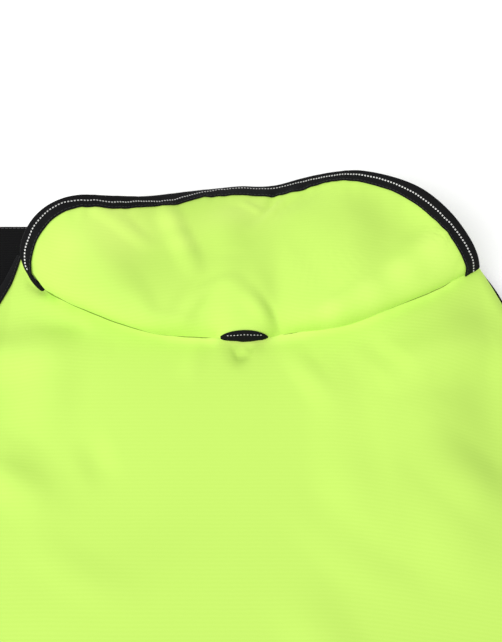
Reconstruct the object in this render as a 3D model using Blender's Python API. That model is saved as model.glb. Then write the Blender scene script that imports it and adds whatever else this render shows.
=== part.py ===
"""A dog coat of padded high-visibility cloth, laid flat on a surface with its outer side up.

Lengths are in millimetres until a mesh is made, and in metres after that. +X is to the right as the coat
lies, +Y points to the dog's head and +Z is up. The middle of the lead hole is over X 0, Y 0, and an empty
then carries the whole coat so that the middle of its box stands over the origin.
"""

import math
from collections import namedtuple

import bpy
import numpy as np

MM = 0.001

# Cloth, tape and webbing
WALL = 2.0
TAPE = 0.9
GAP = 0.3
BAND = 11.0
CHEST_STRAP_THICK = 2.2
BELLY_STRAP_THICK = 2.0

# Distances from the middle of a wall to the inner and outer skin of the tape folded round it
TAPE_INSIDE = WALL / 2 + 1.3 * GAP
TAPE_OUTSIDE = TAPE_INSIDE + TAPE
EDGE_ROOM = 0.8
TAPE_NOSE = EDGE_ROOM + 1.4 * TAPE

# Neckline of the panel, from the left shoulder's tip to the right one's, and how far the cloth stands
# off the surface there
Neck = namedtuple("Neck", "x y lift")
NECKLINE = (
    Neck(-177, 74, 8),
    Neck(-150, 42, 13),
    Neck(-118, 24, 12),
    Neck(-85, 11, 10),
    Neck(-50, 3, 8),
    Neck(-21, 1, 7),
    Neck(0, 0, 7),
    Neck(21, 2, 7),
    Neck(55, 8, 9),
    Neck(90, 14, 13),
    Neck(120, 24, 17),
    Neck(150, 38, 20),
    Neck(177, 61, 20),
)
NECK_FALL = 150.0

# Outline of the panel as it lies, seen from above, and the share by which its edge is turned down
Side = namedtuple("Side", "x y fold")
LEFT_SHOULDER = (Side(-177, 74, 1.0), Side(-184, 52, 1.0), Side(-203, 10, 1.0), Side(-234, -60, 0.6))
RIGHT_SHOULDER = (Side(177, 61, 1.0), Side(184, 46, 1.0), Side(201, 8, 1.0), Side(232, -60, 0.6))
FLANK = (
    Side(267, -155, 0),
    Side(283, -265, 0),
    Side(286, -370, 0),
    Side(278, -460, 0),
    Side(248, -530, 0),
    Side(180, -560, 0),
    Side(90, -567, 0),
)
TAIL_Y = -569.0
CORNER_ROW = 4
FULL_TURN = math.radians(160)
TIGHTEST_TURN = 9.5

# Distances of the panel's rows from its edge, along the cloth
RING = (0, BAND / 2, BAND, 17, 24, 32, 42)
SIDE_STATIONS = 22
NECK_STATIONS = 9
HOLE_STATIONS = 10
SIDE_CROWDING = 1.45

# Folds and hollows of the panel, seen from above, with a fold's width and height off the cloth
Ridge = namedtuple("Ridge", "x0 y0 x1 y1 width height")
PANEL_FOLDS = (
    Ridge(-35, -6, -48, -34, 12, 2.0),
    Ridge(19, -10, 48, -54, 14, 2.5),
    Ridge(-108, -4, -136, -80, 15, -2.0),
    Ridge(-172, -14, -138, -72, 24, 3.0),
    Ridge(80, -5, 116, -44, 15, -2.5),
    Ridge(118, -74, 188, -140, 26, 3.5),
    Ridge(-40, -150, -180, -236, 34, 3.0),
    Ridge(30, -180, 76, -250, 28, 2.5),
    Ridge(-210, -350, -120, -470, 34, 3.5),
    Ridge(140, -340, 220, -450, 36, 3.0),
)
Hump = namedtuple("Hump", "x y reach height")
PANEL_HUMPS = (
    Hump(-4, -14, 15, -2.5),
    Hump(-276, -205, 62, 7),
    Hump(-287, -345, 54, 5),
    Hump(-262, -520, 60, 6),
    Hump(-120, -568, 66, 5),
    Hump(60, -570, 58, 6),
    Hump(210, -552, 54, 4),
    Hump(287, -400, 62, 6),
    Hump(274, -180, 58, 6),
)

# Collar, one rib to a row: where it leaves the seam, where it ends, the angle at which it rises from the
# seam, the share of its length that rolls there, and its slope at the free edge
Rib = namedtuple("Rib", "seam_x seam_y edge_x edge_y edge_z rise roll slope")
RIBS = (
    Rib(-153, 42, -150, 33, 24, 110, 0.30, 45),
    Rib(-151, 40, -155, 35, 28, 115, 0.33, 45),
    Rib(-149, 38, -160, 40, 33, 122, 0.38, 42),
    Rib(-147, 36, -165, 49, 40, 128, 0.40, 35),
    Rib(-143, 34, -165, 58, 46, 130, 0.40, 25),
    Rib(-138, 31, -160, 70, 52, 132, 0.40, 12),
    Rib(-129, 26, -148, 84, 57, 135, 0.40, 2),
    Rib(-116, 21, -126, 93, 60, 138, 0.40, -4),
    Rib(-93, 12, -101, 101, 47, 138, 0.40, -12),
    Rib(-73, 5, -79, 113, 28, 128, 0.36, -16),
    Rib(-50, 2, -56, 127, 13, 105, 0.31, -22),
    Rib(-21, 0, -26, 138, 5, 70, 0.27, -28),
    Rib(0, -1, -2, 143, 4, 54, 0.25, -26),
    Rib(21, 1, 25, 144, 6, 70, 0.27, -18),
    Rib(42, 6, 49, 142, 20, 98, 0.31, 2),
    Rib(62, 9, 75, 134, 38, 110, 0.33, 15),
    Rib(82, 12, 98, 124, 50, 115, 0.34, 25),
    Rib(108, 20, 129, 105, 58, 118, 0.34, 30),
    Rib(130, 28, 151, 84, 56, 118, 0.34, 32),
    Rib(147, 36, 166, 65, 48, 115, 0.34, 36),
    Rib(158, 42, 173, 54, 40, 110, 0.34, 40),
    Rib(166, 46, 176, 49, 31, 105, 0.34, 44),
)
EDGE_PULL = 0.33
COLLAR_FOLDS = (
    Ridge(-6, 36, 26, 2, 7, -2.5),
    Ridge(-14, 32, 16, 0, 9, 2.0),
    Ridge(-48, 2, -6, 37, 9, 1.5),
    Ridge(-53, 98, -33, 38, 12, -3.5),
    Ridge(-67, 90, -44, 42, 12, 2.5),
    Ridge(-112, 87, -74, 62, 12, 2.5),
    Ridge(-91, 93, -74, 74, 10, -2.0),
    Ridge(24, 122, 0, 74, 11, -3.0),
    Ridge(41, 126, 8, 80, 13, 2.5),
    Ridge(62, 120, 84, 24, 18, 3.0),
)
COLLAR_ROWS = 12
COLLAR_STATIONS = 22
LEFT_HOLE_RIB = 11
RIGHT_HOLE_RIB = 13

# Lead hole: half its length, how far its upper lip stands off its lower one, and in which direction
HOLE_HALF = 21.0
LIP_HALF = 17.5
LIP_LIFT = 9.5
LIP_DIRECTION = np.array([0.0, -0.5, 0.866])
COLLAR_LIP_BAND = 6.7
PANEL_LIP_BAND = 4.5

# Chest strap and belly strap
CHEST_STRAP_SEWN = ((180, 32), (176, 56), (150, 80), (118, 107))
CHEST_STRAP_Y = (32.0, 107.0)
CHEST_STRAP_END_X = -300.0
CHEST_STRAP_CORNER = 14.0
BELLY_STRAP_Y = -285.0
BELLY_STRAP_WIDE = 40.0
BELLY_STRAP_X = (-205.0, 352.0)
STRAP_MARGIN = 30.0
STRAP_SLOPE = 24.0


def spline(at, knots, values):
    """Smooth curve that passes through a value at each knot."""
    knots = np.asarray(knots, float)
    values = np.asarray(values, float)
    at = np.clip(at, knots[0], knots[-1])
    slopes = np.gradient(values, knots, axis=0)
    low = np.clip(np.searchsorted(knots, at, side="right") - 1, 0, len(knots) - 2)
    step = knots[low + 1] - knots[low]
    t = (at - knots[low]) / step
    if values.ndim > 1:
        step, t = step[:, None], t[:, None]
    return (
        values[low] * (1 + 2 * t) * (1 - t) ** 2
        + values[low + 1] * (3 - 2 * t) * t**2
        + step * (slopes[low] * t * (1 - t) ** 2 - slopes[low + 1] * t**2 * (1 - t))
    )


def lengths(points):
    """Distance run along a row of points, from its first point."""
    steps = np.linalg.norm(np.diff(points, axis=0), axis=1)
    return np.concatenate(([0.0], np.cumsum(steps)))


def unit(vectors):
    """Vectors brought to length 1."""
    return vectors / np.maximum(np.linalg.norm(vectors, axis=-1, keepdims=True), 1e-9)


def swell(distance):
    """Soft hump: 1 at distance 0, and 0 from distance 1 on."""
    return np.cos(np.clip(np.abs(distance), 0, 1) * math.pi / 2) ** 2


def ramp(x, start, end):
    """Soft step from 0 at start to 1 at end."""
    t = np.clip((x - start) / (end - start), 0, 1)
    return t * t * (3 - 2 * t)


def ridge_height(x, y, ridge):
    """Height of one ridge, which fades towards both its ends."""
    along = np.array([ridge.x1 - ridge.x0, ridge.y1 - ridge.y0])
    length = np.linalg.norm(along)
    along = along / length
    run = (x - ridge.x0) * along[0] + (y - ridge.y0) * along[1]
    off = (y - ridge.y0) * along[0] - (x - ridge.x0) * along[1]
    return ridge.height * swell(off / ridge.width) * swell((run - length / 2) / (0.65 * length))


def straps_below(x, y):
    """Rise of the panel over the two straps that lie under it."""
    chest_edge = CHEST_STRAP_Y[0] - STRAP_MARGIN / 2
    chest = ramp(y, chest_edge - STRAP_SLOPE, chest_edge)
    belly_edge = BELLY_STRAP_WIDE / 2 + STRAP_MARGIN
    belly = ramp(-np.abs(y - BELLY_STRAP_Y), -belly_edge - STRAP_SLOPE, -belly_edge)
    sewn_edge = BELLY_STRAP_X[0] - STRAP_MARGIN
    belly = belly * ramp(x, sewn_edge - STRAP_SLOPE, sewn_edge)
    return (CHEST_STRAP_THICK + GAP) * chest + (BELLY_STRAP_THICK + GAP) * belly


def neck_y(x):
    """Y of the neckline at X."""
    return spline(x, [row.x for row in NECKLINE], [row.y for row in NECKLINE])


def sheet_height(x, y):
    """Height of the middle of the panel's wall, before its edge is turned."""
    x, y = np.broadcast_arrays(np.asarray(x, float), np.asarray(y, float))
    lift = spline(x, [row.x for row in NECKLINE], [row.lift for row in NECKLINE])
    height = WALL / 2 + straps_below(x, y) + lift * swell((neck_y(x) - y) / NECK_FALL)
    height = height + sum(ridge_height(x, y, ridge) for ridge in PANEL_FOLDS)
    for hump in PANEL_HUMPS:
        height = height + hump.height * swell(np.hypot(x - hump.x, y - hump.y) / hump.reach)
    return height


def outline_stations():
    """Points, inward directions and turns of the panel's edge, from tip to tip round the tail."""
    left = [Side(-row.x, row.y, row.fold) for row in FLANK]
    right = list(reversed(FLANK))
    rows = list(LEFT_SHOULDER) + left + [Side(0, TAIL_Y, 0)] + right + list(reversed(RIGHT_SHOULDER))
    table = np.array(rows, float)
    knots = lengths(table[:, :2])
    corner = len(LEFT_SHOULDER) + CORNER_ROW
    down = knots[corner] * np.linspace(0, 1, SIDE_STATIONS + 1) ** SIDE_CROWDING
    other = len(rows) - 1 - corner
    tail = np.linspace(knots[corner], knots[other], 2 * NECK_STATIONS + HOLE_STATIONS + 1)
    up = knots[-1] - (knots[-1] - knots[other]) * np.linspace(1, 0, SIDE_STATIONS + 1) ** SIDE_CROWDING
    at = np.concatenate((down, tail[1:], up[1:]))
    placed = spline(at, knots, table)
    points = placed[:, :2]
    along = unit(np.gradient(points, at, axis=0))
    inward = np.stack((-along[:, 1], along[:, 0]), axis=1)
    for tip, order in ((NECKLINE[:2], (0, 1, 2)), (NECKLINE[:-3:-1], (-1, -2, -3))):
        towards = unit(np.array([tip[1].x - tip[0].x, tip[1].y - tip[0].y], float))
        for step, station in enumerate(order):
            share = step / len(order)
            inward[station] = unit(towards * (1 - share) + inward[station] * share)
    return points, inward, np.clip(placed[:, 2], 0, 1)


def ring_row(point, inward, fold):
    """Points across the panel's edge at one station: from the edge inwards, round its turn."""
    under = TAPE_OUTSIDE + GAP + float(straps_below(point[0], point[1]))
    reach = 0.0
    for _ in range(6):
        top = float(sheet_height(*(point + inward * reach)))
        drop = max(top - under, 0) * fold
        turn = math.acos(max(1 - drop / TIGHTEST_TURN, math.cos(FULL_TURN)))
        radius = drop / (1 - math.cos(turn)) if drop > 0 else 0.0
        reach = radius * math.sin(min(turn, math.pi / 2))
    rows = []
    for run in RING:
        if run < radius * turn:
            angle = turn - run / radius
            place = point + inward * (reach - radius * math.sin(angle))
            height = top - radius * (1 - math.cos(angle))
        else:
            place = point + inward * (reach + run - radius * turn)
            height = float(sheet_height(*place))
            height += (TAPE + 2 * GAP) * float(ramp(-run, -BAND - 25, -BAND)) * (1 - fold)
        rows.append((place[0], place[1], height))
    return rows


def panel_patches():
    """The panel's middle surface: a ring of rows along its edge, and the field inside it."""
    stations = outline_stations()
    ring = np.array([ring_row(*station) for station in zip(*stations)])
    inner = ring[:, -1, :2]
    left = inner[: SIDE_STATIONS + 1]
    tail = inner[SIDE_STATIONS : len(inner) - SIDE_STATIONS]
    right = inner[: -SIDE_STATIONS - 2 : -1]
    across = np.concatenate(
        (
            np.linspace(left[0, 0], -HOLE_HALF, NECK_STATIONS + 1),
            np.linspace(-HOLE_HALF, HOLE_HALF, HOLE_STATIONS + 1)[1:],
            np.linspace(HOLE_HALF, right[0, 0], NECK_STATIONS + 1)[1:],
        )
    )
    neck = np.stack((across, neck_y(across)), axis=1)
    neck[0], neck[-1] = left[0], right[0]
    v = (np.linspace(0, 1, SIDE_STATIONS + 1) ** SIDE_CROWDING)[:, None, None]
    u = np.linspace(0, 1, len(across))[None, :, None]
    field = (1 - v) * neck[None] + v * tail[None] + (1 - u) * left[:, None] + u * right[:, None]
    field -= (1 - v) * ((1 - u) * neck[0] + u * neck[-1]) + v * ((1 - u) * tail[0] + u * tail[-1])
    height = sheet_height(field[..., 0], field[..., 1])
    field = np.concatenate((field, height[..., None]), axis=2)
    field[:, 0], field[:, -1] = ring[: SIDE_STATIONS + 1, -1], ring[: -SIDE_STATIONS - 2 : -1, -1]
    field[-1] = ring[SIDE_STATIONS : len(ring) - SIDE_STATIONS, -1]
    return ring, field


def hole_opening(x):
    """Share by which the upper lip of the lead hole is lifted at X."""
    return np.clip(1 - (np.abs(x) / HOLE_HALF) ** 4, 0, 1)


def collar_stations():
    """Places of the collar's stations along its table of ribs."""
    return np.concatenate(
        (
            np.linspace(0, LEFT_HOLE_RIB, COLLAR_STATIONS + 1),
            np.linspace(LEFT_HOLE_RIB, RIGHT_HOLE_RIB, HOLE_STATIONS + 1)[1:],
            np.linspace(RIGHT_HOLE_RIB, len(RIBS) - 1, COLLAR_STATIONS + 1)[1:],
        )
    )


def collar_rib(rib, shares):
    """Points of one rib: from the seam at share 0 to the free edge at share 1."""
    rib = Rib(*rib)
    rise, slope = math.radians(rib.rise), math.radians(rib.slope)
    base = float(sheet_height(rib.seam_x, rib.seam_y)) + WALL / 2 + 1.5 * GAP
    seam = np.array([rib.seam_x, rib.seam_y, base + abs(math.cos(rise)) * WALL / 2])
    seam = seam + LIP_DIRECTION * LIP_LIFT * float(hole_opening(rib.seam_x))
    out = unit(np.array([rib.edge_x - rib.seam_x, rib.edge_y - rib.seam_y, 0.0]))
    along = out * math.cos(slope) + np.array([0.0, 0.0, math.sin(slope)])
    edge = np.array([rib.edge_x, rib.edge_y, rib.edge_z]) - along * TAPE_NOSE
    chord = np.linalg.norm(edge - seam)
    first = seam + rib.roll * chord * np.array([0.0, math.cos(rise), math.sin(rise)])
    last = edge - EDGE_PULL * chord * along
    t = np.linspace(0, 1, 60)[:, None]
    curve = (1 - t) ** 3 * seam + 3 * (1 - t) ** 2 * t * first + 3 * (1 - t) * t**2 * last + t**3 * edge
    run = lengths(curve)
    band = min(BAND, 0.6 * run[-1])
    lip = min(COLLAR_LIP_BAND + 1, 0.1 * run[-1])
    body = lip + (run[-1] - band - lip) * np.asarray(shares)
    return spline(np.concatenate(([0.0], body, [run[-1]])), run, curve)


def collar_grid():
    """The collar's middle surface, a row of points to each station."""
    table = spline(collar_stations(), np.arange(len(RIBS)), np.array(RIBS, float))
    shares = np.linspace(0, 1, COLLAR_ROWS)
    grid = np.array([collar_rib(row, shares) for row in table])
    across = np.gradient(grid, axis=0)
    up = np.gradient(grid, axis=1)
    off = sum(ridge_height(grid[..., 0], grid[..., 1], fold) for fold in COLLAR_FOLDS)
    return grid + unit(np.cross(across, up)) * off[..., None]


def split(numbers, corners):
    """Two triangles of a four-sided face, parted along the shorter of its diagonals."""
    a, b, c, d = numbers
    first = np.linalg.norm(corners[0] - corners[2])
    second = np.linalg.norm(corners[1] - corners[3])
    return ((a, b, c), (a, c, d)) if first <= second else ((a, b, d), (b, c, d))


def weld(patches):
    """Vertices and triangles of grids that share their borders, and the grids of vertex numbers."""
    numbers, vertices, triangles, grids = {}, [], [], []
    for patch in patches:
        rows, columns = patch.shape[:2]
        grid = np.zeros((rows, columns), int)
        for i in range(rows):
            for j in range(columns):
                key = tuple(np.round(patch[i, j], 3))
                if key not in numbers:
                    numbers[key] = len(vertices)
                    vertices.append(patch[i, j])
                grid[i, j] = numbers[key]
        for i in range(rows - 1):
            for j in range(columns - 1):
                numbers_round = (grid[i, j], grid[i + 1, j], grid[i + 1, j + 1], grid[i, j + 1])
                corners = (patch[i, j], patch[i + 1, j], patch[i + 1, j + 1], patch[i, j + 1])
                triangles += [t for t in split(numbers_round, corners) if len(set(t)) == 3]
        grids.append(grid)
    return np.array(vertices), np.array(triangles), grids


def vertex_normals(vertices, triangles):
    """Directions that stand off a surface at its vertices."""
    a, b, c = (vertices[triangles[:, k]] for k in range(3))
    faces = np.cross(b - a, c - a)
    normals = np.zeros_like(vertices)
    for k in range(3):
        np.add.at(normals, triangles[:, k], faces)
    return unit(normals)


def wall_body(vertices, triangles, normals, floor=None):
    """A wall of cloth about a middle surface: two skins and the strip round them."""
    outer = vertices + normals * WALL / 2
    inner = vertices - normals * WALL / 2
    if floor is not None:
        outer[:, 2] = np.maximum(outer[:, 2], floor)
        inner[:, 2] = np.maximum(inner[:, 2], floor)
    count = len(vertices)
    edges = {(t[k], t[(k + 1) % 3]) for t in triangles.tolist() for k in range(3)}
    border = [(a, b) for a, b in edges if (b, a) not in edges]
    strip = [face for a, b in sorted(border) for face in ((a, a + count, b), (b, a + count, b + count))]
    faces = triangles.tolist() + (triangles[:, ::-1] + count).tolist() + strip
    return np.concatenate((outer, inner)), faces


def faced_out(vertices, triangles):
    """The triangles of a closed body, turned round if they face into it."""
    a, b, c = (vertices[np.array(triangles)[:, k]] for k in range(3))
    inside_out = np.sum(a * np.cross(b, c)) < 0
    return [face[::-1] for face in triangles] if inside_out else triangles


def channel_body(rows, normals, outward):
    """Tape folded round an edge: rows of points from the edge inwards, with their normals."""
    last = len(rows) - 1
    order = list(range(last, -1, -1)) + [0] + list(range(last + 1))
    nose = last + 1

    def skin(offset, reach):
        points = []
        for place, row in enumerate(order):
            side = offset if place < nose else -offset
            point = rows[row] + (0 if place == nose else side) * normals[row]
            if row == 0:
                point = point + outward * (reach if place == nose else EDGE_ROOM)
            points.append(point)
        return np.stack(points, axis=1)

    outer = skin(TAPE_OUTSIDE, TAPE_NOSE)
    outer[..., 2] = np.maximum(outer[..., 2], 0)
    inner = skin(TAPE_INSIDE, EDGE_ROOM + TAPE / 3)
    stations, points = outer.shape[:2]
    count = stations * points
    faces = []
    for i in range(stations - 1):
        for j in range(points - 1):
            a, b = i * points + j, (i + 1) * points + j
            here, there = rows[order[j]], rows[order[j + 1]]
            parts = split((a, b, b + 1, a + 1), (here[i], here[i + 1], there[i + 1], there[i]))
            faces += parts
            faces += [(u + count, w + count, v + count) for u, v, w in parts]
        for j, turned in ((0, False), (points - 1, True)):
            a, b = i * points + j, (i + 1) * points + j
            rim = ((a, a + count, b), (b, a + count, b + count))
            faces += [face[::-1] for face in rim] if turned else list(rim)
    for i, turned in ((0, False), (stations - 1, True)):
        for j in range(points - 1):
            a = i * points + j
            end = ((a, a + 1, a + count), (a + 1, a + count + 1, a + count))
            faces += [face[::-1] for face in end] if turned else list(end)
    vertices = np.concatenate((outer.reshape(-1, 3), inner.reshape(-1, 3)))
    return vertices, faced_out(vertices, faces)


def plate_body(outline, bottom, thick):
    """A flat plate with the given outline, which runs counterclockwise."""
    count = len(outline)
    low = [(x, y, bottom) for x, y in outline]
    high = [(x, y, bottom + thick) for x, y in outline]
    sides = [(k, (k + 1) % count, (k + 1) % count + count, k + count) for k in range(count)]
    return np.array(low + high), [tuple(reversed(range(count))), tuple(range(count, 2 * count))] + sides


def material(name, colour, roughness):
    """A plain material with the piece's colour."""
    made = bpy.data.materials.new(name)
    made.use_nodes = True
    shader = made.node_tree.nodes["Principled BSDF"]
    shader.inputs["Base Color"].default_value = (*colour, 1)
    shader.inputs["Roughness"].default_value = roughness
    shader.inputs["Metallic"].default_value = 0.0
    return made


def add_piece(name, body, finish, parent):
    """One named piece of the coat from a body in millimetres."""
    vertices, faces = body
    mesh = bpy.data.meshes.new(name)
    mesh.from_pydata((np.asarray(vertices) * MM).tolist(), [], [tuple(map(int, face)) for face in faces])
    mesh.validate()
    mesh.shade_smooth()
    mesh.set_sharp_from_angle(angle=math.radians(40))
    mesh.materials.append(finish)
    piece = bpy.data.objects.new(name, mesh)
    piece.parent = parent
    bpy.context.scene.collection.objects.link(piece)
    return piece


def panel_and_tapes():
    """Bodies of the back panel, its hem binding and the lower lip of the lead hole."""
    vertices, triangles, (ring, field) = weld(panel_patches())
    normals = vertex_normals(vertices, triangles)
    hem = [ring[:, k] for k in range(3)]
    outward = unit(vertices[hem[0]] - vertices[hem[1]])
    hem_body = channel_body([vertices[k] for k in hem], [normals[k] for k in hem], outward)
    columns = slice(NECK_STATIONS + 1, NECK_STATIONS + HOLE_STATIONS)
    edge, inside = field[0, columns], field[1, columns]
    lip_body = lip_channel(vertices, normals, edge, inside, PANEL_LIP_BAND)
    return wall_body(vertices, triangles, normals, floor=0.0), hem_body, lip_body


def lip_channel(vertices, normals, edge, inside, band):
    """Tape of one lip of the lead hole, widest in its middle."""
    across = vertices[inside] - vertices[edge]
    width = band * np.sqrt(np.clip(1 - (vertices[edge][:, 0] / LIP_HALF) ** 2, 0.04, 1))
    share = (width / np.linalg.norm(across, axis=1))[:, None]
    inner_row = vertices[edge] + across * share
    inner_normal = unit(normals[edge] * (1 - share) + normals[inside] * share)
    return channel_body([vertices[edge], inner_row], [normals[edge], inner_normal], -unit(across))


def collar_and_tapes():
    """Bodies of the collar, its binding and the upper lip of the lead hole."""
    vertices, triangles, (grid,) = weld([collar_grid()])
    normals = vertex_normals(vertices, triangles)
    rows = [grid[1:, -1], grid[1:, -2]]
    outward = unit(vertices[rows[0]] - vertices[rows[1]])
    binding = channel_body([vertices[k] for k in rows], [normals[k] for k in rows], outward)
    columns = slice(COLLAR_STATIONS + 1, COLLAR_STATIONS + HOLE_STATIONS)
    lip = lip_channel(vertices, normals, grid[columns, 0], grid[columns, 1], COLLAR_LIP_BAND)
    return wall_body(vertices, triangles, normals), binding, lip


def chest_strap_outline():
    """Outline of the chest strap, from its sewn end to its loose one with round corners."""
    low, high = CHEST_STRAP_Y
    corner, middle = CHEST_STRAP_CORNER, CHEST_STRAP_END_X + CHEST_STRAP_CORNER
    turns = np.linspace(0, math.pi / 2, 6)
    top = [(middle - corner * math.sin(a), high - corner + corner * math.cos(a)) for a in turns]
    foot = [(middle - corner * math.cos(a), low + corner - corner * math.sin(a)) for a in turns]
    return list(CHEST_STRAP_SEWN) + top + foot


def belly_strap_outline():
    """Outline of the belly strap, square where it is sewn on and round at its loose end."""
    left, right = BELLY_STRAP_X
    radius = BELLY_STRAP_WIDE / 2
    turns = np.linspace(-math.pi / 2, math.pi / 2, 9)
    loose = [(right + radius * (math.cos(a) - 1), BELLY_STRAP_Y + radius * math.sin(a)) for a in turns]
    return [(left, BELLY_STRAP_Y + radius), (left, BELLY_STRAP_Y - radius)] + loose


def centre(parent, pieces):
    """Move the coat so that the middle of its box stands over the origin."""
    corners = np.array([vertex.co for piece in pieces for vertex in piece.data.vertices])
    low, high = corners.min(axis=0), corners.max(axis=0)
    parent.location = (-(low[0] + high[0]) / 2, -(low[1] + high[1]) / 2, -low[2])


def main():
    """Build the coat."""
    for old in list(bpy.data.objects):
        bpy.data.objects.remove(old, do_unlink=True)
    cloth = material("high_visibility_cloth", (0.62, 0.95, 0.16), 0.75)
    tape = material("black_tape", (0.015, 0.015, 0.017), 0.6)
    webbing = material("black_webbing", (0.02, 0.02, 0.022), 0.7)
    coat = bpy.data.objects.new("coat_origin", None)
    bpy.context.scene.collection.objects.link(coat)
    panel, hem, panel_lip = panel_and_tapes()
    collar, binding, collar_lip = collar_and_tapes()
    chest = plate_body(chest_strap_outline(), 0.0, CHEST_STRAP_THICK)
    belly = plate_body(belly_strap_outline(), 0.0, BELLY_STRAP_THICK)
    pieces = [
        add_piece("back_panel", panel, cloth, coat),
        add_piece("collar", collar, cloth, coat),
        add_piece("collar_binding", binding, tape, coat),
        add_piece("collar_lip", collar_lip, tape, coat),
        add_piece("panel_lip", panel_lip, tape, coat),
        add_piece("hem_binding", hem, tape, coat),
        add_piece("chest_strap", chest, webbing, coat),
        add_piece("belly_strap", belly, webbing, coat),
    ]
    centre(coat, pieces)


main()
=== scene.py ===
"""The look of a dog coat in padded high-visibility cloth, laid flat with its outer side up.

Shapes are worked out in millimetres from the middle of the lead hole. +X is to the right as the coat
lies, +Y points to the dog's head and +Z is up. A mesh is brought to metres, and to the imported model's
place, as it is made.
"""

import logging
import math
from dataclasses import dataclass, field
from enum import Enum
from typing import Iterable, NamedTuple, Sequence

import bpy
import numpy as np
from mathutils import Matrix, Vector


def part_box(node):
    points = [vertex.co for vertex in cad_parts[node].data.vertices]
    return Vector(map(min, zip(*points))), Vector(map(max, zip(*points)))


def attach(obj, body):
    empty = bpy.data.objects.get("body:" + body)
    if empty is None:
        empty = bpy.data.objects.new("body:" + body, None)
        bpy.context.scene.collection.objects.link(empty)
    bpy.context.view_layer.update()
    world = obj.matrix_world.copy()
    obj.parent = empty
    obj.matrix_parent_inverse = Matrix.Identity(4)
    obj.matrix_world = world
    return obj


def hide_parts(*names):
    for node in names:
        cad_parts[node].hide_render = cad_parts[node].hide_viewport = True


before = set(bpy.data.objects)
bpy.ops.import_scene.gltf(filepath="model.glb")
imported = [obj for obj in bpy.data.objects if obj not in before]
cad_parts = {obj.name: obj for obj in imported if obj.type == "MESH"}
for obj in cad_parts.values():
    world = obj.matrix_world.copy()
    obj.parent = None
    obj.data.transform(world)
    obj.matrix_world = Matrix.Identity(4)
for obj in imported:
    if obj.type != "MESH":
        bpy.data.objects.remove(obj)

MM = 0.001
SHARP_ANGLE = 55.0
BODY = "root"
CLOTH_MAP = "cloth_mm"
# Name of the vertex mask of painted light (above 0) and painted shade (below 0) on the cloth.
PAINTED_LIGHT_MASK = "painted_light_and_shade"
LOG = logging.getLogger("dog_coat")

Points = np.ndarray
Socket = bpy.types.NodeSocket
Colour = tuple[float, float, float]


class Neck(NamedTuple):
    """A point of the panel's neckline, and how far the cloth stands off the surface there."""

    x: float
    y: float
    lift: float


class Side(NamedTuple):
    """A point of the panel's outline, and the share by which its edge is turned down."""

    x: float
    y: float
    fold: float


class Ridge(NamedTuple):
    """A straight soft fold seen from above: its ends, its width and its height off the cloth."""

    x0: float
    y0: float
    x1: float
    y1: float
    width: float
    height: float


class Hump(NamedTuple):
    """A round swelling of the cloth."""

    x: float
    y: float
    reach: float
    height: float


class Rib(NamedTuple):
    """One rib of the collar.

    It has the places where it leaves the seam and where it ends, the angle at which it rises from the seam,
    the share of its length that rolls there, and its slope at the free edge.
    """

    seam_x: float
    seam_y: float
    edge_x: float
    edge_y: float
    edge_z: float
    rise: float
    roll: float
    slope: float


class Bend(NamedTuple):
    """A point of a curved crease seen from above, with the crease's width and height there."""

    x: float
    y: float
    width: float
    height: float


class Mark(NamedTuple):
    """A value at a share of a tape's length."""

    share: float
    value: float


class Cover(NamedTuple):
    """How far the collar's roll reaches in front of the seam at X."""

    x: float
    reach: float


class Slot(Enum):
    """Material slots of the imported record."""

    CLOTH = "high_visibility_cloth"
    TAPE = "black_tape"
    WEBBING = "black_webbing"


class Layer(Enum):
    """What a face of a piece is made of, in the order of the piece's own material slots."""

    BASE = 0
    SILVER = 1
    THREAD = 2


class Sewn(Enum):
    """Kinds of small mark that run along a tape in a row."""

    DASH = "reflective dash"
    STITCH = "stitch"


# The edge to which the collar is sewn, from the left shoulder's tip to the right one's.
NECKLINE = (
    Neck(-177, 74, 8),
    Neck(-150, 42, 13),
    Neck(-118, 24, 12),
    Neck(-85, 11, 10),
    Neck(-50, 3, 8),
    Neck(-21, 1, 7),
    Neck(0, 0, 7),
    Neck(21, 2, 7),
    Neck(55, 8, 9),
    Neck(90, 14, 13),
    Neck(120, 24, 17),
    Neck(150, 38, 20),
    Neck(177, 61, 20),
)
# The panel's outline, whose left flank mirrors the right one.
LEFT_SHOULDER = (Side(-177, 74, 1.0), Side(-184, 52, 1.0), Side(-203, 10, 1.0), Side(-234, -60, 0.85))
RIGHT_SHOULDER = (Side(177, 61, 1.0), Side(184, 46, 1.0), Side(201, 8, 1.0), Side(232, -60, 0.8))
FLANK = (
    Side(267, -155, 0),
    Side(283, -265, 0),
    Side(286, -370, 0),
    Side(278, -460, 0),
    Side(248, -530, 0),
    Side(180, -560, 0),
    Side(90, -567, 0),
)
TAIL = Side(0, -569, 0)
# Large folds of the panel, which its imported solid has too.
PANEL_FOLDS = (
    Ridge(-30, -6, -43, -34, 12, 1.4),
    Ridge(32, -8, 62, -54, 14, 2.2),
    Ridge(-134, 0, -146, -86, 30, 3.0),
    Ridge(-112, -75, -92, -112, 16, -2.2),
    Ridge(86, -1, 122, -40, 14, -1.8),
    Ridge(118, -74, 188, -140, 26, 4.4),
    Ridge(-40, -150, -180, -236, 34, 3.0),
    Ridge(30, -180, 76, -250, 28, 2.5),
    Ridge(-210, -350, -120, -470, 34, 3.5),
    Ridge(140, -340, 220, -450, 36, 3.0),
)
# Places where the panel stands off the surface it lies on.
PANEL_HUMPS = (
    Hump(-3, -14, 14, -1.8),
    Hump(-276, -205, 62, 7),
    Hump(-287, -345, 54, 5),
    Hump(-262, -520, 60, 6),
    Hump(-120, -568, 66, 5),
    Hump(60, -570, 58, 6),
    Hump(210, -552, 54, 4),
    Hump(287, -400, 62, 6),
    Hump(274, -180, 58, 6),
)
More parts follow.
